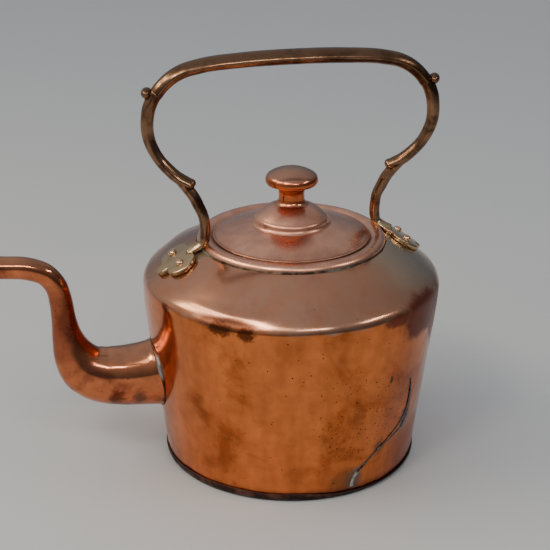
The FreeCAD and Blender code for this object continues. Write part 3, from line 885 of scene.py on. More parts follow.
    def relief(self, lines: Socket) -> Socket:
        """Raise the planishing marks, the hairlines and the finest grain.

        Args:
            lines: The hairlines.

        Returns:
            The surface's normal.
        """
        metal = self.metal
        blows = self.add("ShaderNodeTexNoise", {
            "Vector": self.place, "Scale": 1 / (metal.dimple_mm * MM), "Detail": 0.6})
        grit = self.add("ShaderNodeTexNoise", {
            "Vector": self.place, "Scale": 1 / (metal.grain_mm * MM), "Detail": 3.0})
        relief = self.add("ShaderNodeBump", {
            "Height": blows, "Distance": metal.dimple_depth_mm * MM, "Strength": 1.0})
        relief = self.add("ShaderNodeBump", {
            "Height": lines, "Distance": metal.hairline_depth_mm * MM * metal.hairlines, "Strength": 1.0,
            "Normal": relief})
        return self.add("ShaderNodeBump", {
            "Height": grit, "Distance": metal.grain_depth_mm * MM, "Strength": 1.0, "Normal": relief})

    def written(self) -> bpy.types.Material:
        """Lay all layers and end the tree.

        Returns:
            The material.
        """
        self.mottle()
        self.lay_dust_and_ceiling_tint()
        for layer in self.metal.films_and_painted_light:
            self.film(layer)
        for spot in self.metal.stains_and_painted_light:
            self.lay_stain_and_painted_light(spot)
        self.wear()
        for cluster in self.metal.pits:
            self.pit(cluster)
        normal = self.relief(self.hairlines())
        shader = self.add("ShaderNodeBsdfPrincipled", {
            "Base Color": self.colour, "Metallic": self.metallic, "Roughness": self.rough, "Normal": normal})
        self.add("ShaderNodeOutputMaterial", {"Surface": shader})
        return self.material


@dataclass(frozen=True)
class FloorFinish:
    """Smooth painted board: an even pale grey with a soft sheen."""

    name: str = "painted_board"
    colour: str = "c9ccce"

    def make(self) -> bpy.types.Material:
        """Write the node material.

        Returns:
            The material.
        """
        material = bpy.data.materials.new(self.name)
        material.use_nodes = True
        tree = material.node_tree
        tree.nodes.clear()
        place = add(tree, "ShaderNodeTexCoord", output="Object")
        patches = add(tree, "ShaderNodeTexNoise", {"Vector": place, "Scale": 3.0, "Detail": 3.0})
        rough = add(tree, "ShaderNodeMapRange", {"Value": patches, "To Min": 0.45, "To Max": 0.6})
        shader = add(tree, "ShaderNodeBsdfPrincipled", {
            "Base Color": linear(self.colour), "Roughness": rough})
        add(tree, "ShaderNodeOutputMaterial", {"Surface": shader})
        return material


class Finish(Enum):
    """Finishes of the kettle's pieces."""

    # Wall and shoulder: copper sheet, raised and planished. The wall is polished orange; the shoulder keeps a
    # mauve-brown film of tarnish that is partly a painted reflection of the dim room above the bend. Dark
    # drips under the bend are partly tarnish and partly a painted dark reflection of the room; a red-brown
    # tongue on the right is a painted dark reflection, a pale grey-green patch on the right shoulder is a
    # painted reflection of the blue-grey room, and the repair has a dull grey edge.
    BODY = AgedMetal(
        "raised_copper_sheet", "d87a44", "b05a2c", "4a2412", dullness=0.42, gloss=(0.15, 0.25), smears=0.24,
        dimple_depth_mm=0.016,
        # First band: the shoulder's mauve-brown tarnish, partly a painted reflection of the dim room above
        # the bend
        films_and_painted_light=(FilmAndPaintedLight("c19177", 131.5, 135.5, 0.92, 13.0, 2.2, roughness=0.2),
               FilmAndPaintedLight("4a2c22", 11.0, 4.5, 0.6, 8.0, 1.5, roughness=0.45)),
        # Pale grey-green patch on the right shoulder: painted reflection of the blue-grey room
        stains_and_painted_light=(StainAndPaintedLight((72.0, -24.0, 150.0), 62.0, "c0b097", 0.75, 0.8, 8.0, 22.0, 1.0, 0.26, 0.3),
                # Dark drips under the front-left bend: partly tarnish, partly a painted dark reflection of
                # the room
                StainAndPaintedLight((-62.0, -83.0, 135.5), 28.0, "5c2c1c", 0.8, 0.17, 2.2, 4.5, core=0.6),
                StainAndPaintedLight((-66.0, -81.0, 132.5), 11.0, "44200f", 0.85, 0.6, 3.0, 2.6, core=0.5),
                StainAndPaintedLight((-50.5, -91.5, 131.0), 8.0, "4a2214", 0.85, 0.8, 2.6, 2.4, core=0.5),
                # Red-brown tongue on the right, these three spots: painted dark reflection
                StainAndPaintedLight((77.0, -64.0, 126.0), 36.0, "5e1e0a", 0.92, 0.5, 5.0, 9.0, 0.7, 0.42, 0.65),
                StainAndPaintedLight((92.0, -40.0, 119.0), 26.0, "5e1e0a", 0.9, 0.9, 5.0, 8.0, 0.7, 0.42, 0.6),
                StainAndPaintedLight((54.0, -86.0, 131.5), 17.0, "5e1e0a", 0.85, 0.35, 3.0, 5.0, 0.7, 0.4, 0.5),
                StainAndPaintedLight((92.0, -44.0, 106.0), 12.0, "6a2a16", 0.7, 1.6, 4.0, 9.0, 0.6),
                StainAndPaintedLight((76.0, -58.0, 18.0), 36.0, "8a4426", 0.6, 1.0, 6.0, 14.0),
                StainAndPaintedLight((69.3, -64.6, 45.0), 8.0, "50565c", 0.8, 1.6, 3.0, 4.0, 0.8, 0.35),
                StainAndPaintedLight((46.0, -81.0, 33.0), 8.0, "5e4a34", 0.6, 1.0, 3.0, 4.0),
                StainAndPaintedLight((27.0, -86.0, 13.0), 9.0, "66665c", 0.75, 1.3, 3.5, 4.0, 0.8, 0.4),
                StainAndPaintedLight((20.0, -87.0, 12.0), 16.0, "6b4a30", 0.5, 0.8, 4.0, 6.0),
                StainAndPaintedLight((52.3, -85.3, 86.0), 2.2, "3c3a26", 0.9, 1.8, 1.0, 2.0),
                StainAndPaintedLight((9.0, -94.5, 48.5), 11.0, "7a3c1a", 0.45, 2.0, 6.0, 3.5, core=0.1),
                StainAndPaintedLight((25.0, -93.0, 62.0), 10.0, "7a3c1a", 0.45, 1.0, 6.0, 3.0, core=0.1),
                StainAndPaintedLight((-21.7, -102.3, 121.0), 13.0, "8c4620", 0.4, 0.9, 5.0, 8.0, core=0.1),
                StainAndPaintedLight((-13.5, -90.6, 23.0), 11.0, "8a4522", 0.4, 1.2, 5.0, 7.0, core=0.1),
                StainAndPaintedLight((-66.0, -14.0, 161.5), 13.0, "8a8f80", 0.7, 1.0, 4.0, 7.0, 0.8, 0.5)),
        pits=(Pits((32, -92, 60), 58, 0.7, 2.1, "5a2c14"), Pits((34, -90, 56), 54, 1.0, 4.2, "4a2210"),
              Pits((0, -98, 70), 120, 0.7, 4.0, "4a2412")))
    # Lid, dome and mouth ring: the same sheet, spun and less polished. What faces up is tinted, partly as a
    # painted reflection of the room above.
    LID = AgedMetal(
        "spun_copper_sheet", "f0aa88", "cf8e74", "4a2a1e", dullness=0.5, gloss=(0.24, 0.36), dimple_mm=14.0,
        dimple_depth_mm=0.012, dust_and_ceiling_tint="c8a592", dust_and_ceiling_cover=0.3)
    # Spout: seamed copper pipe, handled and wiped at every pouring. Its underside carries a painted shade of
    # the shadowed floor that it reflects, and what faces up is tinted, partly as a painted reflection of the
    # room above.
    SPOUT = AgedMetal(
        "seamed_copper_pipe", "cf7a50", "9a543c", "331810", dullness=0.45, gloss=(0.08, 0.17), cloud_mm=30.0,
        dust_and_ceiling_tint="b4886c", dust_and_ceiling_cover=0.6, smears=0.1,
        stains_and_painted_light=(StainAndPaintedLight((-128.0, -16.0, 55.0), 7.0, "5a2412", 0.7, 1.6, 3.0, 4.0),
                StainAndPaintedLight((-112.0, -17.0, 54.0), 6.0, "58403c", 0.7, 1.8, 2.5, 4.0),
                StainAndPaintedLight((-161.5, 0.0, 112.0), 40.0, "7c3e30", 0.62, 1.1, 8.0, 14.0, core=0.5),
                # Dark band along the spout's underside: painted shade of the shadowed floor that it reflects
                StainAndPaintedLight((-124.0, -14.0, 40.0), 32.0, "4c2418", 0.85, 0.45, 4.0, 8.0),
                StainAndPaintedLight((-160.5, -6.0, 112.0), 9.0, "4a1e14", 0.55, 3.0, 3.0, 6.0)),
        pits=(Pits((-160, -7, 125), 30, 0.7, 2.5, "331810"), Pits((-130, -17, 60), 30, 0.7, 3.0)))
    # Knob: turned copper over a stud, bright from fingers. Its top is tinted mauve, partly as a painted
    # reflection of the room above.
    KNOB = AgedMetal(
        "turned_copper", "c2683e", "9c4a28", "3a180c", dullness=0.4, gloss=(0.16, 0.26), cloud_mm=14.0,
        dimple_mm=6.0, dimple_depth_mm=0.008, dust_and_ceiling_tint="b98c74", dust_and_ceiling_cover=0.9)
    # Base: the same copper, blackened by the flame.
    BASE = AgedMetal(
        "sooted_copper", "6b4a40", "3a2e2c", "181210", dullness=0.8, gloss=(0.4, 0.62), cloud_mm=16.0,
        hairlines=0.8)
    # Handle: sand-cast brass, filed and scraped, brown all over and yellow where hands rub it. What faces up
    # is darkened, partly as a painted reflection of the room above.
    HANDLE = AgedMetal(
        "cast_brass", "8c684e", "523829", "241610", dullness=0.58, gloss=(0.14, 0.26), cloud_mm=18.0,
        dimple_mm=4.5, dimple_depth_mm=0.012, grain_mm=0.9, grain_depth_mm=0.006, wear=0.9,
        dust_and_ceiling_tint="6a5340", dust_and_ceiling_cover=0.6,
        films_and_painted_light=(FilmAndPaintedLight("cdb088", 173.0, 164.0, 0.9, 8.0, 1.0, roughness=0.22),))
    # Rivets: peened copper, domed heads bright on top.
    RIVET = AgedMetal(
        "peened_copper", "d8b08c", "a8806a", "33211a", dullness=0.35, gloss=(0.18, 0.28), cloud_mm=4.0,
        dimple_mm=1.4, dimple_depth_mm=0.015, wear=0.8)
    # Solder: soft tin and lead, lumpy, dull grey with bright scrapes.
    SOLDER = AgedMetal(
        "soft_solder", "9fa2a0", "5d635f", "22211e", dullness=0.6, gloss=(0.3, 0.55), cloud_mm=5.0,
        dimple_mm=2.2, dimple_depth_mm=0.04, wear=0.7)
    # Solder of the spout's root: coppered over by years of polish, grey only on its front upper side.
    ROOT_SOLDER = AgedMetal(
        "coppered_solder", "6e4434", "4a2c22", "24160f", dullness=0.6, gloss=(0.25, 0.45), cloud_mm=6.0,
        dimple_mm=2.2, dimple_depth_mm=0.03, wear=0.25,
        stains_and_painted_light=(StainAndPaintedLight((-97.0, -18.5, 78.0), 11.0, "a9aaa5", 0.9, 1.0, 2.0, 4.0, 1.0, 0.4),
                StainAndPaintedLight((-95.0, -14.0, 45.5), 4.0, "8d8f88", 0.7, 1.0, 1.0, 3.0, 1.0, 0.4)))
    # Solder of the old repair: silver at its foot, black with polish and soot above.
    REPAIR_SOLDER = AgedMetal(
        "blackened_solder", "b4b8b8", "7d8280", "262320", dullness=0.5, gloss=(0.3, 0.5), cloud_mm=4.0,
        dimple_mm=2.0, dimple_depth_mm=0.04, wear=0.2,
        films_and_painted_light=(FilmAndPaintedLight("241e1a", 16.0, 20.0, 1.0, 2.5, 1.5, roughness=0.5),
               FilmAndPaintedLight("5c666e", 46.0, 52.0, 0.7, 3.0, 2.0, roughness=0.45)))
    # Solder of the mouth ring: brown with old polish, grey-green with verdigris near the feet.
    RING_SOLDER = AgedMetal(
        "verdigris_solder", "6a5546", "3c3029", "17130f", dullness=0.6, gloss=(0.45, 0.65), cloud_mm=7.0,
        dimple_mm=1.5, dimple_depth_mm=0.04, wear=0.8,
        stains_and_painted_light=(StainAndPaintedLight((-66.0, -12.0, 161.0), 20.0, "7d8a7e", 0.8, 1.0, 5.0, 5.0, 0.3, 0.7),
                StainAndPaintedLight((20.0, -64.0, 161.0), 14.0, "5f6a62", 0.5, 1.0, 5.0, 5.0, 0.5, 0.65)))
    # Inside: hot-tinned copper, grey and wiped uneven.
    TIN = AgedMetal(
        "wiped_tin", "a9a6a0", "7d776e", "3a322a", dullness=0.5, gloss=(0.3, 0.5), cloud_mm=25.0,
        dimple_depth_mm=0.03)


class FinishBook:
    """Makes each finish once."""

    def __init__(self) -> None:
        """Start with no finish made."""
        self.made: dict[Finish, bpy.types.Material] = {}

    def __getitem__(self, finish: Finish) -> bpy.types.Material:
        """Return the material of a finish.

        Args:
            finish: The finish.

        Returns:
            Its material, which is written when it is first asked for.
        """
        if finish not in self.made:
            self.made[finish] = finish.value.make()
        return self.made[finish]


# ---- Sub-assemblies ---------------------------------------------------------------------------------------


def settle(obj: bpy.types.Object, body: Body, slot: Slot, *nodes: str) -> bpy.types.Object:
    """Finish a piece: mark its wear, attach it to its body, and hide the CAD nodes that it stands for.

    Args:
        obj: The piece.
        body: Rigid body that it moves with.
        slot: Material slot of the record; not used.
        *nodes: CAD nodes that it replaces.

    Returns:
        The piece.
    """
    mark_wear(obj)
    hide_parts(*nodes)
    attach(obj, body.value)
    obj.data.calc_loop_triangles()
    log.info("%s: %d triangles", obj.name, len(obj.data.loop_triangles))
    return obj


@dataclass
class Vessel:
    """Bottom, wall and shoulder, and the ring about the mouth."""

    book: FinishBook
    sheet: float = 1.2
    foot_radius: float = 88.5
    flare: float = 0.1336
    pan_floor: float = 1.4
    pan_rim: float = 1.0
    pan_height: float = 6.6
    pan_corner: float = 4.3
    # Profile above the straight wall: the middle and the end of each arc
    wall_top: float = 112.0
    swell: Point2 = (104.45, 121.3)
    edge: Point2 = (104.8, 131.0)
    turn: Point2 = (103.9, 135.2)
    bend: Point2 = (101.0, 138.9)
    slope: Point2 = (84.6, 151.2)
    land: Point2 = (67.0, 161.0)
    mouth_hole: float = 53.8
    # Hammering: height and length of the waves, in millimetres, and their seed
    swells: tuple[tuple[float, float, int], ...] = ((0.16, 34.0, 3), (0.28, 80.0, 5))
    # Pan's rim: how far it is worn low, at how many degrees round the axis and over how many
    rim_wear: tuple[float, float, float] = (3.0, -60.0, 30.0)
    ring: Runs = (
        ((66.3, 161.0),), ((64.9, 164.6), (60.5, 165.8)), ((57.9, 165.3), (55.6, 163.9)),
        ((52.4, 163.9),), ((52.4, 150.0),), ((53.6, 150.0),), ((53.6, 162.7),), ((55.3, 162.7),),
        ((58.2, 164.1), (60.5, 164.6)), ((64.0, 163.7), (65.1, 161.0)))
    ring_bead: Runs = (
        ((65.5, 160.4),), ((68.0, 159.9),), ((67.0, 161.4), (66.2, 162.5)), ((65.5, 162.5),))
    # Dents: degrees round the axis, height, half width, half height, depth (all but the first in mm)
    dents: tuple[tuple[float, float, float, float, float], ...] = (
        (-128.0, 122.0, 16.0, 5.0, 0.7),
        (-128.0, 137.0, 34.0, 3.0, 0.9),
        (-127.0, 141.0, 38.0, 2.6, -0.6),
        (24.0, 149.5, 20.0, 8.0, -1.9),
        (138.0, 148.0, 28.0, 9.0, -1.0),
        (-52.0, 55.0, 16.0, 22.0, 1.0),
        (-38.0, 30.0, 22.0, 16.0, 1.4),
        (-30.0, 118.0, 14.0, 13.0, 1.1),
        (-95.0, 100.0, 26.0, 14.0, 0.5),
        (-140.0, 60.0, 24.0, 26.0, 0.6),
        (40.0, 70.0, 30.0, 26.0, 0.8),
        (130.0, 50.0, 24.0, 20.0, 0.7),
        (95.0, 112.0, 22.0, 9.0, 0.8),
    )

    def wall_radius(self, height: float | np.ndarray) -> float | np.ndarray:
        """Outside radius of the straight wall at a height."""
        return self.foot_radius + self.flare * height

    def hammered(self, vertices: np.ndarray) -> np.ndarray:
        """Say how the sheet departs from a turned shape, after raising and a hard life.

        Args:
            vertices: Rows of x, y and z in millimetres.

        Returns:
            How far each vertex moves.
        """
        x, y, z = vertices.T
        radius = np.hypot(x, y) + 1e-9
        angle = np.degrees(np.arctan2(y, x))
        # The foot seam, the mouth and the ground under the handle's feet keep their turned shape
        free = np.clip((z - 10) / 25, 0, 1) * np.clip((radius - 70) / 18, 0, 1)
        feet = np.exp(-((np.abs((angle % 180) - 7) / 14) ** 2)) * np.clip((z - 128) / 10, 0, 1)
        depth = sum(tall * waves(vertices, length, seed) for tall, length, seed in self.swells)
        for azimuth, height, wide, tall, deep in self.dents:
            around = np.radians((angle - azimuth + 180) % 360 - 180) * 100
            depth -= deep * np.exp(-((around / wide) ** 2) - ((z - height) / tall) ** 2)
        depth *= free * (1 - feet)
        lift = depth * 0.4 * np.clip((z - 130) / 10, 0, 1)
        return np.stack([x / radius * depth, y / radius * depth, lift], 1)

    def make_shell(self, spout_hole: bpy.types.Object) -> bpy.types.Object:
        """Raise the wall and shoulder from one sheet, tinned inside, and pierce it for the spout.

        Args:
            spout_hole: Solid of the spout's outside.

        Returns:
            The shell.
        """
        outer = Outline((self.wall_radius(self.pan_floor), self.pan_floor))
        outer.line((self.wall_radius(self.wall_top), self.wall_top)).arc(self.swell, self.edge)
        outer.arc(self.turn, self.bend).arc(self.slope, self.land)
        outer.line((self.mouth_hole, self.land[1]))
        path = np.array(outer.points)
        steps = np.gradient(path, axis=0)
        normals = np.stack([-steps[:, 1], steps[:, 0]], axis=1)
        normals /= np.linalg.norm(normals, axis=1)[:, None]
        inner = path + normals * self.sheet
        inner[0, 1], inner[-1, 0] = self.pan_floor, self.mouth_hole
        closed = Outline(tuple(path[0]))
        closed.points = [tuple(p) for p in path] + [tuple(p) for p in inner[::-1]]
        rows = closed.worn(0.3, longest=1.5)
        middle = (path + inner) / 2
        nearest = [np.argmin(((row - middle) ** 2).sum(axis=1)) for row in rows]
        inside = ((rows - middle[nearest]) * normals[nearest]).sum(axis=1) > 0.1
        shell = lathe("kettle_shell", rows, [self.book[Finish.BODY], self.book[Finish.TIN]],
                      sides=400, lining=lambda _: inside.astype(np.int32), shift=self.hammered)
        cut = shell.modifiers.new("spout_hole", "BOOLEAN")
        cut.object, cut.operation, cut.solver = spout_hole, "DIFFERENCE", "EXACT"
        bpy.context.view_layer.update()
        evaluated = shell.evaluated_get(bpy.context.evaluated_depsgraph_get())
        mesh = bpy.data.meshes.new_from_object(evaluated)
        shell.modifiers.clear()
        shell.data = mesh
        shell.data.shade_smooth()
        return settle(shell, Body.KETTLE, Slot.COPPER, "body_wall", "body_shoulder")

    def make_base(self) -> bpy.types.Object:
        """Press the bottom pan with its lapped rim.

        Returns:
            The piece.
        """
        rim = self.wall_radius(self.pan_corner) + self.pan_rim
        bulge = self.pan_corner * (1 - math.sqrt(0.5))
        outline = Outline((0, 0)).line((rim - self.pan_corner, 0))
        outline.arc((rim - bulge, bulge), (rim, self.pan_corner))
        outline.line((self.wall_radius(self.pan_height) + self.pan_rim, self.pan_height))
        outline.line((self.wall_radius(self.pan_height), self.pan_height))
        outline.line((self.wall_radius(self.pan_floor), self.pan_floor), (0, self.pan_floor))

        def uneven(vertices: np.ndarray) -> np.ndarray:
            """Hammer the lapped rim a little unevenly, and wear it low on one side.

            Args:
                vertices: Rows of x, y and z in millimetres.

            Returns:
                How far each vertex moves.
            """
            radius = np.hypot(vertices[:, 0], vertices[:, 1]) + 1e-9
            share = np.clip((vertices[:, 2] - 3.0) / 3.0, 0, 1) * (radius > 80)
            angle = np.degrees(np.arctan2(vertices[:, 1], vertices[:, 0]))
            deep, middle, wide = self.rim_wear
            low = deep * np.exp(-(((angle - middle) / wide) ** 2))
            lift = share * (0.25 * waves(vertices, 18.0, 21) - low)
            press = share * 0.12 * waves(vertices, 9.0, 22)
            return np.stack([vertices[:, 0] / radius * press, vertices[:, 1] / radius * press, lift], 1)

        def tinned(rows: np.ndarray) -> np.ndarray:
            """Tell which rings lie inside the kettle."""
            return ((rows[:, 1] > 1.0) & (rows[:, 0] < 88.4)).astype(np.int32)

        rows = outline.worn(0.3, closed=False, longest=4.0)
        pan = lathe("base_pan_sooted", rows, [self.book[Finish.BASE], self.book[Finish.TIN]],
                    closed=False, lining=tinned, shift=uneven)
        return settle(pan, Body.KETTLE, Slot.COPPER, "base_pan")

    def make_base_solder(self) -> bpy.types.Object:
        """Run the solder fillet inside the bottom seam.

        Returns:
            The piece.
        """
        foot = self.wall_radius(self.pan_floor) - self.sheet
        outline = Outline((foot, self.pan_floor)).line((foot - 4.0, self.pan_floor))
        outline.arc((foot - 1.2, self.pan_floor + 1.1), (foot + 0.5, self.pan_floor + 4.0))
        ring = lathe("bottom_seam_solder", outline.worn(0.2), [self.book[Finish.SOLDER]], sides=240)
        return settle(ring, Body.KETTLE, Slot.SOLDER, "base_solder")

    def make_ring(self) -> bpy.types.Object:
        """Form the half-round ring about the mouth with the lid's seat and collar.

        Returns:
            The piece.
        """
        rows = Outline.drawn(self.ring).worn(0.22, longest=1.5)
        ring = lathe("mouth_ring_formed", rows, [self.book[Finish.LID]], sides=400,
                     shift=lambda v: np.stack([v[:, 0] * 0, v[:, 1] * 0, 0.06 * waves(v, 22.0, 31)], 1))
        return settle(ring, Body.KETTLE, Slot.COPPER, "mouth_ring")

    def make_ring_solder(self) -> bpy.types.Object:
        """Run the uneven line of solder round the ring's foot, green with verdigris in places.

        Returns:
            The piece.
        """
        def lumpy(vertices: np.ndarray) -> np.ndarray:
            """Swell and thin the line of solder.

            Args:
                vertices: Rows of x, y and z in millimetres.

            Returns:
                How far each vertex moves.
            """
            radius = np.hypot(vertices[:, 0], vertices[:, 1])
            share = np.clip((radius - 66.0) / 1.6, 0, 1)
            swell = share * (0.25 * waves(vertices, 9.0, 41) + 0.12 * waves(vertices, 3.0, 42) - 0.45)
            ways = vertices[:, :2] / radius[:, None] * swell[:, None]
            return np.column_stack([ways, swell * 0.2])

        rows = Outline.drawn(self.ring_bead).worn(0.2, longest=0.5)
        ring = lathe("mouth_ring_solder", rows, [self.book[Finish.RING_SOLDER]], sides=600, shift=lumpy)
        return settle(ring, Body.KETTLE, Slot.SOLDER, "ring_solder")


@dataclass
class Spout:
    """Gooseneck spout, and the solder that holds it."""

    book: FinishBook
    bars: BarTree
    vessel: Vessel
    wall: float = 1.1
    lap: float = 1.5
    lip: float = 0.8  # how much thicker the rolled lip is
    lip_half: float = 1.3  # half of its length
    # Distances from the axis: the root is drawn back to the wall, and the elbow eased, between these
    tail_start: float = 86.0
    tail_end: float = 112.0
    hole_end: float = 108.0
    elbow_start: float = 103.0
    elbow_end: float = 158.0
    easing: int = 24
    # Root's solder: middle's height, half width and half height of its oval
    root: tuple[float, float, float] = (66.9, 20.3, 24.7)
    # Repair: degrees round the axis, height, and half width of the run of solder
    repair: tuple[tuple[float, float, float], ...] = (
        (-73.4, 7.0, 1.6), (-73.0, 12.5, 1.1), (-70.6, 18.6, 1.4), (-65.6, 25.6, 0.7), (-60.0, 32.2, 0.6),
        (-53.0, 37.0, 0.7), (-46.4, 41.4, 0.9), (-42.6, 50.6, 1.1), (-42.2, 63.0, 0.9), (-44.4, 78.0, 0.4))
    repair_rise: float = 0.35
    # Distance from the axis, height, height of the oval section and its width
    stations: Stations = (
        (86.0, 67.4, 51.0, 41.5), (97.0, 67.0, 49.0, 40.0), (110.0, 66.2, 46.4, 39.0),
        (124.0, 66.3, 44.0, 37.8), (138.0, 68.6, 41.6, 35.6), (148.6, 75.2, 37.2, 31.8),
        (155.2, 85.0, 30.2, 26.6), (159.4, 97.5, 22.6, 21.2), (161.7, 112.0, 17.6, 17.4),
        (163.2, 126.0, 16.4, 16.4), (166.0, 137.6, 15.7, 15.7), (173.2, 147.2, 15.6, 15.6),
        (184.5, 152.3, 15.9, 15.9), (203.0, 154.7, 15.9, 15.9), (219.0, 156.7, 15.6, 15.6))

    def rows(self) -> np.ndarray:
        """Find the path of the spout, with its lip rolled thicker.

        Returns:
            Rows of x, y, z, half height and half width.
        """
        rows = smooth_rows([(-reach, 0, height, tall / 2, wide / 2)
                            for reach, height, tall, wide in self.stations], 0.9)
        left = np.linalg.norm(rows[:, :3] - rows[-1, :3], axis=1)
        lip = self.lip * np.sqrt(np.clip(1 - ((left - self.lip_half) / self.lip_half) ** 2, 0, 1))
        rows[:, 3] += lip
        rows[:, 4] += lip
        return rows

    def make_hole(self) -> bpy.types.Object:
        """Make the solid that pierces the wall.

        Returns:
            The solid, which the caller removes.
        """
        rows = self.rows()
        rows = rows[rows[:, 0] > -self.hole_end]
        return self.bars.bar("spout_hole", rows, np.array([0, 1, 0]), self.book[Finish.TIN], sides=96)

    def make_pipe(self) -> bpy.types.Object:
        """Make the pipe, its root trimmed to stand a little inside the wall.

        Returns:
            The piece.
        """
        pipe = self.bars.bar("spout_pipe", self.rows(), np.array([0.0, 1.0, 0.0]), self.book[Finish.SPOUT],
                             sides=96)
        mesh = pipe.data
        work = bmesh.new()
        work.from_mesh(mesh)
        bmesh.ops.delete(work, geom=[f for f in work.faces if len(f.verts) > 4], context="FACES")
        room = self.vessel.foot_radius - self.vessel.sheet - self.lap
        for vertex in work.verts:
            x, y, z = (c / MM for c in vertex.co)
            start = -math.sqrt((room + self.vessel.flare * z) ** 2 - y * y)
            if x > -self.tail_end:
                tail = self.tail_end - self.tail_start
                step = (-self.tail_start - x) / tail
                pace = tail / (self.tail_end + start)
                share = (pace - 1) * step**2 + (2 - pace) * step
                vertex.co.x = (start * (1 - share) - self.tail_end * share) * MM
            dent = 0.10 * math.sin(x / 9.0 + y / 7.0) + 0.12 * math.sin(z / 11.0 - x / 13.0)
            vertex.co.y += dent * MM * min(1.0, max(0.0, (-self.tail_end - x) / 20.0))
        # The inside of the elbow is tighter than the pipe is wide, so its rings are eased apart
        elbow = [v for v in work.verts if -self.elbow_end < v.co.x / MM < -self.elbow_start]
        for _ in range(self.easing):
            bmesh.ops.smooth_vert(work, verts=elbow, factor=0.5, use_axis_x=True, use_axis_y=True,
                                  use_axis_z=True)
        work.to_mesh(mesh)
        work.free()
        solid = pipe.modifiers.new("wall", "SOLIDIFY")
        solid.thickness, solid.offset, solid.use_even_offset = self.wall * MM, -1.0, True
        bpy.context.view_layer.update()
        thick = bpy.data.meshes.new_from_object(pipe.evaluated_get(bpy.context.evaluated_depsgraph_get()))
        pipe.modifiers.clear()
        pipe.data = thick
        tidy_mesh(pipe)
        return settle(pipe, Body.KETTLE, Slot.COPPER, "spout")

    def make_solder(self) -> bpy.types.Object:
        """Run the bead of soft solder round the spout's root.

        Returns:
            The piece.
        """
        turn = np.linspace(0, math.tau, 220, endpoint=False)
        middle, half_width, half_height = self.root
        y = half_width * np.cos(turn)
        z = middle + half_height * np.sin(turn)
        x = -np.sqrt((self.vessel.wall_radius(z) + 0.2) ** 2 - y**2)
        size = 0.9 + 0.2 * np.sin(turn * 3 + 1) + 0.15 * np.sin(turn * 7)
        size += 1.1 * np.exp(-(((np.degrees(turn) - 150) / 22) ** 2))
        rows = np.stack([x, y, z, size * 0.85, size], axis=1)
        bead = self.bars.bar("spout_root_solder", rows, np.array([1.0, 0.0, 0.0]),
                             self.book[Finish.ROOT_SOLDER], sides=20, unevenness=0.45, lump_mm=3.5, seed=4.0,
                             closed=True)
        return settle(bead, Body.KETTLE, Slot.SOLDER, "spout_solder")

    def make_repair(self) -> bpy.types.Object:
        """Run the old repair's solder up the wall.

        Returns:
            The piece.
        """
        places = []
        for azimuth, height, half in self.repair:
            turn = math.radians(azimuth)
            radius = self.vessel.wall_radius(height)
            x, y = radius * math.cos(turn), radius * math.sin(turn)
            places.append((x, y, height, half, self.repair_rise))
        rows = smooth_rows(places, 0.6)
        across = rows[:, :3] * (1, 1, 0)
        across /= np.linalg.norm(across, axis=1)[:, None]
        bead = self.bars.bar("repair_run", rows, across, self.book[Finish.REPAIR_SOLDER], sides=20,
                             unevenness=0.6, lump_mm=2.5, seed=9.0)
        return settle(bead, Body.KETTLE, Slot.SOLDER, "repair_solder")


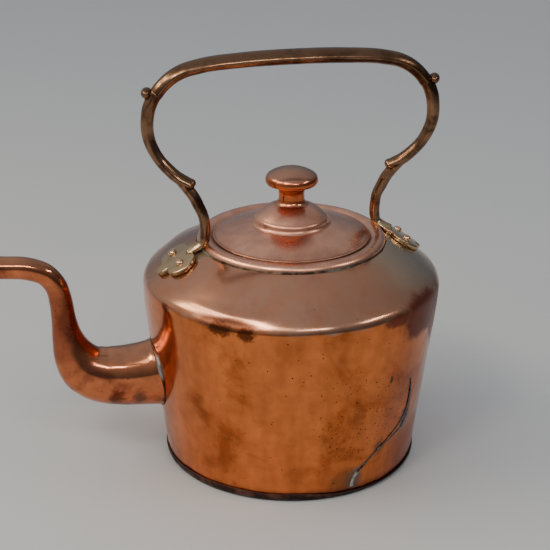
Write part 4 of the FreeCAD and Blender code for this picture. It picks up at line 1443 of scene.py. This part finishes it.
@dataclass
class Handle:
    """Arched grip, two arms with scalloped feet, and the rivets that hold them."""

    book: FinishBook
    bars: BarTree
    rivets: RivetTree
    vessel: Vessel
    corner_reach: float = 98.0
    knuckle: Point2 = (100.2, 272.7)
    knuckle_size: Point2 = (3.8, 6.0)
    nose: Point2 = (70.6, 209.8)
    nose_size: Point2 = (3.2, 3.7)
    twist: float = 17.0
    foot_turn: float = 5.0
    foot_thickness: float = 3.6
    foot_edge: float = 1.3  # how far in from its rim the foot is rounded
    foot_gap: float = 0.02  # between the foot and the shoulder
    foot_centre: float = 80.8
    # Lobes of the foot: distance from the axis, distance aside, radius
    lobes: tuple[tuple[float, float, float], ...] = (
        (80.8, 9.6, 9.3), (80.8, -9.6, 9.3), (90.0, 0.0, 5.6), (75.2, 0.0, 8.0))
    rivet_circle: float = 82.2
    rivet_spread: float = 6.4
    # Rivet and its washer, from the shoulder's surface up
    rivet_head: Runs = (
        ((0, -3.4),), ((0.6, -3.4),), ((1.9, -3.1), (2.6, -2.35)), ((1.6, -2.35),), ((1.6, 3.2),),
        ((3.2, 3.3),), ((2.5, 5.2), (0.5, 5.8)), ((0, 5.8),))
    washer: Runs = (((1.6, -2.35),), ((4.5, -2.35),), ((4.5, -1.35),), ((1.6, -1.35),))
    # Distance from the axis, height, half width and half thickness
    grip: Stations = (
        (0.0, 292.9, 7.75, 5.4), (36.0, 292.1, 7.6, 5.3), (64.0, 289.5, 7.3, 5.1), (76.0, 286.4, 6.9, 5.0),
        (83.5, 282.3, 6.5, 4.9), (89.5, 277.0, 6.1, 4.8), (94.2, 271.0, 5.8, 4.8))
    upper: Stations = (
        (92.8, 273.2, 5.2, 4.3), (96.2, 268.2, 5.3, 4.7), (98.6, 262.5, 5.3, 4.75), (100.1, 254.0, 5.3, 4.55),
        (99.9, 244.0, 5.3, 4.4), (96.8, 233.8, 5.3, 4.15), (92.0, 225.6, 5.4, 4.0), (86.3, 219.2, 5.5, 4.1),
        (79.8, 213.5, 5.6, 4.2), (73.8, 210.2, 5.5, 4.1), (69.8, 208.8, 5.0, 3.2))
    lower: Stations = (
        (81.0, 213.6, 4.4, 3.0), (74.0, 206.6, 4.6, 3.8), (69.0, 200.0, 4.7, 4.0), (65.9, 193.7, 4.6, 3.95),
        (62.9, 187.1, 4.6, 3.75), (61.6, 179.2, 4.6, 3.7), (61.6, 171.3, 4.7, 3.65), (62.9, 166.4, 5.0, 3.4),
        (66.9, 163.5, 5.6, 3.0), (73.5, 160.7, 6.4, 2.6))

    def arm_point(self, reach: float, height: float) -> np.ndarray:
        """Find a place in the plane of the right-hand arm.

        Args:
            reach: Distance from the axis before the arm is twisted, in millimetres.
            height: Height of the place.

        Returns:
            x, y and z in millimetres.
        """
        turn = math.radians(180 - self.twist)
        return np.array([self.corner_reach + math.cos(turn) * (self.corner_reach - reach),
                         math.sin(turn) * (self.corner_reach - reach), height])

    def shoulder(self, reach: np.ndarray) -> np.ndarray:
        """Find how high the shoulder stands.

        Args:
            reach: Distances from the axis.

        Returns:
            Heights.
        """
        vessel = self.vessel
        curve = Outline(vessel.bend).arc(vessel.slope, vessel.land, pieces=40).points[::-1]
        return np.interp(reach, [p[0] for p in curve], [p[1] for p in curve])

    def make_grip(self) -> bpy.types.Object:
        """Make the arched grip.

        Returns:
            The piece.
        """
        half = [(-r, 0, h, thick, wide) for r, h, wide, thick in reversed(self.grip[1:])]
        stations = half + [(r, 0, h, thick, wide) for r, h, wide, thick in self.grip]
        rows = smooth_rows(stations, 1.0)
        bar = self.bars.bar("grip_arched", rows, np.array([0.0, 1.0, 0.0]), self.book[Finish.HANDLE],
                            sides=64, crispness=0.4, unevenness=0.05, lump_mm=9.0, seed=2.0)
        return settle(bar, Body.KETTLE, Slot.BRASS, "handle_grip")

    def foot(self) -> tuple[np.ndarray, list[tuple[int, ...]]]:
        """Shape the scalloped foot on the shoulder.

        Returns:
            Vertices in millimetres, and faces.
        """
        sides, rings = 160, 26
        centre = np.array([self.foot_centre, 0.0])
        turn = np.arange(sides) / sides * math.tau
        rays = np.stack([np.cos(turn), np.sin(turn)], axis=1)
        far = np.zeros(sides)
        for reach, aside, radius in self.lobes:
            gap = np.array([reach, aside]) - centre
            along = rays @ gap
            root = radius**2 - gap @ gap + along**2
            far = np.maximum(far, np.where(root > 0, along + np.sqrt(np.maximum(root, 0)), 0))
        shares = 1 - (1 - np.linspace(0, 1, rings)) ** 1.3
        plan = centre + rays[None] * (far[None] * shares[:, None])[..., None]
        axis_reach = np.hypot(plan[..., 0], plan[..., 1])
        base = self.shoulder(axis_reach)
        slope = np.arctan2(self.shoulder(axis_reach - 1.0) - self.shoulder(axis_reach + 1.0), 2.0)
        edge_gap = np.clip(far[None] * (1 - shares[:, None]) / self.foot_edge, 0, 1)
        crown = self.foot_thickness * np.sqrt(np.clip(1 - (1 - edge_gap) ** 2 * 0.35, 0, 1))
        vertices = []
        for lift in (crown, np.full_like(crown, self.foot_gap)):
            outward = plan / axis_reach[..., None]
            side = np.sin(slope) * lift
            spot = plan + outward * side[..., None]
            vertices.append(np.dstack([spot, base + np.cos(slope) * lift]))
        points = np.concatenate([v.reshape(-1, 3) for v in vertices])
        faces = []
        half = rings * sides
        for ring in range(rings - 1):
            for s in range(sides):
                a, b = ring * sides + s, ring * sides + (s + 1) % sides
                faces.append((a, b, b + sides, a + sides))
                faces.append((half + a, half + a + sides, half + b + sides, half + b))
        last = (rings - 1) * sides
        for s in range(sides):
            a, b = last + s, last + (s + 1) % sides
            faces.append((a, b, half + b, half + a))
        return turned_about_axis(points, self.foot_turn), faces

    def make_arms(self) -> None:
        """Cast one arm, and turn its copy half round for the other side."""
        turn = math.radians(90 - self.twist)
        across = np.array([math.cos(turn), math.sin(turn), 0.0])
        finish = self.book[Finish.HANDLE]
        parts = []
        for name, stations in (("upper", self.upper), ("lower", self.lower)):
            rows = smooth_rows([(*self.arm_point(r, h), thick, wide) for r, h, wide, thick in stations], 0.7)
            parts.append(self.bars.bar(f"arm_{name}", rows, across, finish, sides=48, crispness=0.35,
                                       unevenness=0.06, lump_mm=8.0, seed=5.0))
        vertices, faces = self.foot()
        foot = make_object("arm_foot", vertices, faces, [finish])
        tidy_mesh(foot)
        parts.append(foot)
        for spot, size in ((self.knuckle, self.knuckle_size), (self.nose, self.nose_size)):
            parts.append(self.ball(self.arm_point(*spot), size, finish))
        arm = self.cast(parts, "handle_arm_cast_right")
        other = arm.copy()
        other.data = arm.data.copy()
        other.name = "handle_arm_cast_left"
        other.data.transform(Matrix.Rotation(math.pi, 4, "Z"))
        bpy.context.scene.collection.objects.link(other)
        settle(arm, Body.KETTLE, Slot.BRASS, "handle_arm_right")
        settle(other, Body.KETTLE, Slot.BRASS, "handle_arm_left")

    def ball(self, centre: np.ndarray, radii: Point2, finish: bpy.types.Material) -> bpy.types.Object:
        """Make a bead that is longer across the arm.

        Args:
            centre: Middle of the bead, in millimetres.
            radii: Radius in the arm's plane, and half length across it.
            finish: Material.

        Returns:
            The bead.
        """
        work = bmesh.new()
        bmesh.ops.create_uvsphere(work, u_segments=48, v_segments=32, radius=1.0)
        mesh = bpy.data.meshes.new("bead")
        work.to_mesh(mesh)
        work.free()
        radius, half = radii
        turn = Matrix.Rotation(-math.radians(self.twist), 4, "Z")
        size = Matrix.Diagonal((radius * MM, half * MM, radius * MM, 1))
        mesh.transform(Matrix.Translation(Vector(centre * MM)) @ turn @ size)
        mesh.materials.append(finish)
        obj = bpy.data.objects.new("bead", mesh)
        bpy.context.scene.collection.objects.link(obj)
        return obj

    def cast(self, parts: Sequence[bpy.types.Object], name: str, grain: float = 0.42) -> bpy.types.Object:
        """Melt overlapping pieces into one casting with small fillets.

        Args:
            parts: The pieces. They are removed.
            name: Name of the casting.
            grain: Size of the new mesh's squares, in millimetres.

        Returns:
            The casting.
        """
        work = bmesh.new()
        for part in parts:
            work.from_mesh(part.data)
        mesh = bpy.data.meshes.new(name)
        work.to_mesh(mesh)
        work.free()
        mesh.materials.append(parts[0].data.materials[0])
        obj = bpy.data.objects.new(name, mesh)
        bpy.context.scene.collection.objects.link(obj)
        for part in parts:
            bpy.data.objects.remove(part)
        melt = obj.modifiers.new("melt", "REMESH")
        melt.mode, melt.voxel_size, melt.adaptivity = "VOXEL", grain * MM, 0.0
        ease = obj.modifiers.new("ease", "SMOOTH")
        ease.factor, ease.iterations = 0.5, 9
        bpy.context.view_layer.update()
        cast = bpy.data.meshes.new_from_object(obj.evaluated_get(bpy.context.evaluated_depsgraph_get()))
        obj.modifiers.clear()
        obj.data = cast
        obj.data.shade_smooth()
        return obj

    def rivet_spots(self) -> tuple[np.ndarray, np.ndarray]:
        """Find where the right-hand rivets stand.

        Returns:
            Points of the shoulder in millimetres, and the outward directions there.
        """
        places, axes = [], []
        drop = float(self.shoulder(self.rivet_circle - 1) - self.shoulder(self.rivet_circle + 1))
        slope = math.atan2(drop, 2.0)
        for angle in (self.foot_turn - self.rivet_spread, self.foot_turn + self.rivet_spread):
            turn = math.radians(angle)
            out = np.array([math.cos(turn), math.sin(turn), 0])
            places.append(out * self.rivet_circle + (0, 0, float(self.shoulder(self.rivet_circle))))
            axes.append(out * math.sin(slope) + np.array([0, 0, math.cos(slope)]))
        return np.array(places), np.array(axes)

    def make_rivets(self) -> None:
        """Peen the rivets of both feet over their roves."""
        finish = self.book[Finish.RIVET]
        head = Outline.drawn(self.rivet_head).worn(0.25, closed=False, longest=1.0)
        rivet = lathe("rivet_blank", head, [finish], closed=False, sides=40)
        rove = lathe("rove_blank", Outline.drawn(self.washer).worn(0.2, longest=1.0), [finish], sides=40)
        places, axes = self.rivet_spots()
        for side, turn in (("right", 0.0), ("left", 180.0)):
            spots, ways = turned_about_axis(places, turn), turned_about_axis(axes, turn)
            for label, blank, node in (("rivets", rivet, "foot_rivets"), ("roves", rove, "rivet_roves")):
                made = self.rivets.repeat(f"{label}_peened_{side}", blank, spots, ways, finish,
                                          spread=0.05, seed=7)
                settle(made, Body.KETTLE, Slot.RIVET, f"{node}_{side}")
        bpy.data.objects.remove(rivet)
        bpy.data.objects.remove(rove)


@dataclass
class Lid:
    """Lift-off lid with its dome and knob."""

    book: FinishBook
    plate: Runs = (
        ((55.0, 165.4),), ((54.2, 165.4),), ((41.3, 170.4), (28.0, 173.8)), ((22.0, 173.8),),
        ((22.0, 172.6),), ((28.1, 172.6),), ((41.0, 169.2), (51.7, 164.2)), ((55.0, 164.2),))
    crown: tuple[Point2, ...] = ((22.0, 173.8), (28.0, 173.8), (41.3, 170.4), (51.8, 165.4), (55.0, 165.4))
    flange: Runs = (((50.4, 153.0),), ((51.4, 153.0),), ((51.4, 164.7),), ((50.4, 165.0),))
    dome: Runs = (
        ((28.2, 173.75),), ((26.8, 175.0), (26.0, 177.0)), ((25.4, 178.6), (24.3, 179.6)),
        ((18.2, 184.4), (10.4, 188.0)), ((3.0, 188.0),), ((3.0, 186.8),), ((10.1, 186.8),),
        ((17.6, 183.3), (23.5, 178.7)), ((24.3, 177.9), (24.8, 176.8)), ((26.0, 173.85),))
    knob: Runs = (
        ((0, 184.2),), ((0.5, 184.2),), ((2.8, 184.6), (4.4, 185.6)), ((3.0, 185.6),), ((3.0, 188.03),),
        ((10.4, 188.03),), ((12.4, 187.4),), ((10.1, 189.2), (9.1, 192.4)), ((9.1, 196.2), (10.0, 199.8)),
        ((12.4, 201.5), (15.8, 202.3)), ((17.9, 203.2), (18.5, 205.0)), ((17.9, 207.6), (15.6, 209.9)),
        ((8.6, 212.9), (0.5, 213.8)), ((0, 213.8),))
    rove: Runs = (((3.0, 185.6),), ((7.0, 185.6),), ((7.0, 186.8),), ((3.0, 186.8),))

    def make_plate(self) -> bpy.types.Object:
        """Spin the lid's plate, tinned below.

        Returns:
            The piece.
        """
        plate = lathe("lid_plate_spun", Outline.drawn(self.plate).worn(0.25),
                      [self.book[Finish.LID], self.book[Finish.TIN]], sides=360, lining=self.below,
                      shift=lambda v: self.bent(v, 0.14, 51))
        return settle(plate, Body.LID, Slot.COPPER, "lid_plate")

    def below(self, rows: np.ndarray) -> np.ndarray:
        """Tell which rings of the plate lie on its under side."""
        top = np.interp(rows[:, 0], [p[0] for p in self.crown], [p[1] for p in self.crown])
        return (rows[:, 1] < top - 0.6).astype(np.int32)

    def bent(self, vertices: np.ndarray, depth: float, seed: int) -> np.ndarray:
        """Dent the sheet a little up and down, but not at its rim.

        Args:
            vertices: Rows of x, y and z in millimetres.
            depth: Depth of the dents, in millimetres.
            seed: Seed of the dents.

        Returns:
            How far each vertex moves.
        """
        share = np.clip((52.0 - np.hypot(vertices[:, 0], vertices[:, 1])) / 8.0, 0, 1)
        lift = depth * share * waves(vertices, 30.0, seed)
        return np.stack([lift * 0, lift * 0, lift], 1)

    def make_flange(self) -> bpy.types.Object:
        """Roll the ring that keeps the lid in the collar.

        Returns:
            The piece.
        """
        rows = Outline.drawn(self.flange).worn(0.2)
        ring = lathe("lid_flange_rolled", rows, [self.book[Finish.LID]], sides=300)
        return settle(ring, Body.LID, Slot.COPPER, "lid_flange")

    def make_dome(self) -> bpy.types.Object:
        """Spin the stepped dome.

        Returns:
            The piece.
        """
        rows = Outline.drawn(self.dome).worn(0.22, longest=1.2)
        dome = lathe("lid_dome_stepped", rows, [self.book[Finish.LID]], sides=300,
                     shift=lambda v: self.bent(v, 0.06, 52))
        return settle(dome, Body.LID, Slot.COPPER, "lid_dome")

    def make_knob(self) -> bpy.types.Object:
        """Turn the mushroom knob with its stud.

        Returns:
            The piece.
        """
        rows = Outline.drawn(self.knob).worn(0.22, closed=False, longest=1.0)
        knob = lathe("knob_turned", rows, [self.book[Finish.KNOB]], closed=False, sides=240)
        return settle(knob, Body.LID, Slot.COPPER, "lid_knob")

    def make_rove(self) -> bpy.types.Object:
        """Cut the washer under the dome.

        Returns:
            The piece.
        """
        rows = Outline.drawn(self.rove).worn(0.15)
        rove = lathe("knob_rove_cut", rows, [self.book[Finish.RIVET]], sides=80)
        return settle(rove, Body.LID, Slot.RIVET, "knob_rove")


@dataclass
class Studio:
    """Plain pale floor, soft lights and the camera."""

    heading: float = 11.94  # degrees that the view turns from +Y towards +X
    pitch: float = 22.35  # degrees that it looks down
    roll: float = 0.33
    camera_place: tuple[float, float, float] = (-248.9, -1122.7, 606.0)
    sensor: float = 36.0  # millimetres
    focal: float = 1750 / 550 * 36
    horizon: str = "6c7986"
    ceiling: str = "c4c6cc"
    window: str = "cbc8c3"
    # Lights: degrees to the left of the camera, degrees up, distance, width, height (mm), watts, colour
    lights: tuple[tuple[str, float, float, float, float, float, float, str], ...] = (
        ("key_high", 82.0, 46.0, 1500.0, 1000.0, 130.0, 3.9, "fff0d6"),
        ("key_low", 84.0, 37.0, 1500.0, 1000.0, 130.0, 3.9, "fff0d6"),
        ("second", 32.0, 48.0, 1500.0, 1300.0, 300.0, 3.6, "fff4e6"),
        ("front_lamp", 28.0, 46.0, 1400.0, 260.0, 260.0, 2.8, "fff4e0"),
        ("strip_middle", -20.0, 38.0, 1500.0, 500.0, 80.0, 2.4, "fffaf2"),
        ("strip_right", -74.0, 38.0, 1500.0, 500.0, 80.0, 2.4, "fffaf2"),
    )

    def toward(self, azimuth: float, elevation: float) -> Vector:
        """Find the direction from the kettle to a light.

        Args:
            azimuth: Degrees to the left of the camera.
            elevation: Degrees up.

        Returns:
            Unit vector.
        """
        turn = math.radians(self.heading)
        back = Vector((-math.sin(turn), -math.cos(turn), 0))
        left = Vector((-math.cos(turn), math.sin(turn), 0))
        a, e = math.radians(azimuth), math.radians(elevation)
        return (back * math.cos(a) + left * math.sin(a)) * math.cos(e) + Vector((0, 0, math.sin(e)))

    def make_camera(self) -> None:
        """Place the camera."""
        h, p, r = (math.radians(v) for v in (self.heading, self.pitch, self.roll))
        forward = Vector((math.sin(h) * math.cos(p), math.cos(h) * math.cos(p), -math.sin(p)))
        right = Vector((math.cos(h), -math.sin(h), 0))
        up = right.cross(forward)
        side = right * math.cos(r) + up * math.sin(r)
        top = up * math.cos(r) - right * math.sin(r)
        data = bpy.data.cameras.new("camera")
        data.lens = self.focal
        data.sensor_width = self.sensor
        data.clip_start, data.clip_end = 0.05, 50.0
        camera = bpy.data.objects.new("camera", data)
        turn = Matrix((side, top, -forward)).transposed().to_4x4()
        camera.matrix_world = Matrix.Translation(Vector(self.camera_place) * MM) @ turn
        bpy.context.scene.collection.objects.link(camera)
        bpy.context.scene.camera = camera

    def make_lights(self) -> None:
        """Hang the softboxes and set the room: dim and blue-grey low down, paler above and on the left."""
        aim = Vector((0, 0, 0.13))
        for name, azimuth, elevation, distance, width, height, watts, colour in self.lights:
            data = bpy.data.lights.new(name, "AREA")
            data.shape, data.size, data.size_y = "RECTANGLE", width * MM, height * MM
            data.energy, data.color = watts, linear(colour)[:3]
            lamp = bpy.data.objects.new(name, data)
            way = self.toward(azimuth, elevation)
            lamp.location = aim + way * distance * MM
            lamp.rotation_euler = way.to_track_quat("Z", "Y").to_euler()
            bpy.context.scene.collection.objects.link(lamp)
        world = bpy.data.worlds.new("room")
        world.use_nodes = True
        tree = world.node_tree
        tree.nodes.clear()
        way = add(tree, "ShaderNodeTexCoord", output="Generated")
        height = add(tree, "ShaderNodeSeparateXYZ", {0: way}, "Z")
        side = add(tree, "ShaderNodeVectorMath", {0: way, 1: self.toward(90.0, 0.0)}, "Value",
                   operation="DOT_PRODUCT")
        share = add(tree, "ShaderNodeMapRange", {"Value": height, "From Min": -0.05, "From Max": 0.85},
                    interpolation_type="SMOOTHSTEP")
        colour = add(tree, "ShaderNodeMix", {0: share, 6: linear(self.horizon), 7: linear(self.ceiling)}, 2,
                     data_type="RGBA")
        warm = add(tree, "ShaderNodeMapRange", {
            "Value": side, "From Min": 0.15, "From Max": 0.9, "To Max": 0.7}, interpolation_type="SMOOTHSTEP")
        colour = add(tree, "ShaderNodeMix", {0: warm, 6: colour, 7: linear(self.window)}, 2, data_type="RGBA")
        dim = add(tree, "ShaderNodeMapRange", {
            "Value": side, "From Min": -0.9, "From Max": 0.1, "To Min": 0.45})
        add(tree, "ShaderNodeOutputWorld", {0: add(tree, "ShaderNodeBackground", {0: colour, 1: dim})})
        bpy.context.scene.world = world

    def make_floor(self) -> None:
        """Lay the floor."""
        work = bmesh.new()
        bmesh.ops.create_grid(work, x_segments=8, y_segments=8, size=6.0)
        mesh = bpy.data.meshes.new("floor")
        work.to_mesh(mesh)
        work.free()
        mesh.materials.append(FloorFinish().make())
        floor = bpy.data.objects.new("floor", mesh)
        bpy.context.scene.collection.objects.link(floor)


def main() -> None:
    """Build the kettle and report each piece."""
    logging.basicConfig(level=logging.INFO, format="%(message)s")
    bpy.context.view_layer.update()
    book = FinishBook()
    bars, rivet_tree = BarTree(), RivetTree()
    vessel = Vessel(book)
    spout = Spout(book, bars, vessel)
    hole = spout.make_hole()
    vessel.make_shell(hole)
    bpy.data.objects.remove(hole)
    vessel.make_base()
    vessel.make_base_solder()
    vessel.make_ring()
    vessel.make_ring_solder()
    spout.make_pipe()
    spout.make_solder()
    spout.make_repair()
    handle = Handle(book, bars, rivet_tree, vessel)
    handle.make_grip()
    handle.make_arms()
    handle.make_rivets()
    lid = Lid(book)
    lid.make_plate()
    lid.make_flange()
    lid.make_dome()
    lid.make_knob()
    lid.make_rove()
    studio = Studio()
    studio.make_floor()
    studio.make_lights()
    studio.make_camera()


if __name__ == "__main__":
    main()
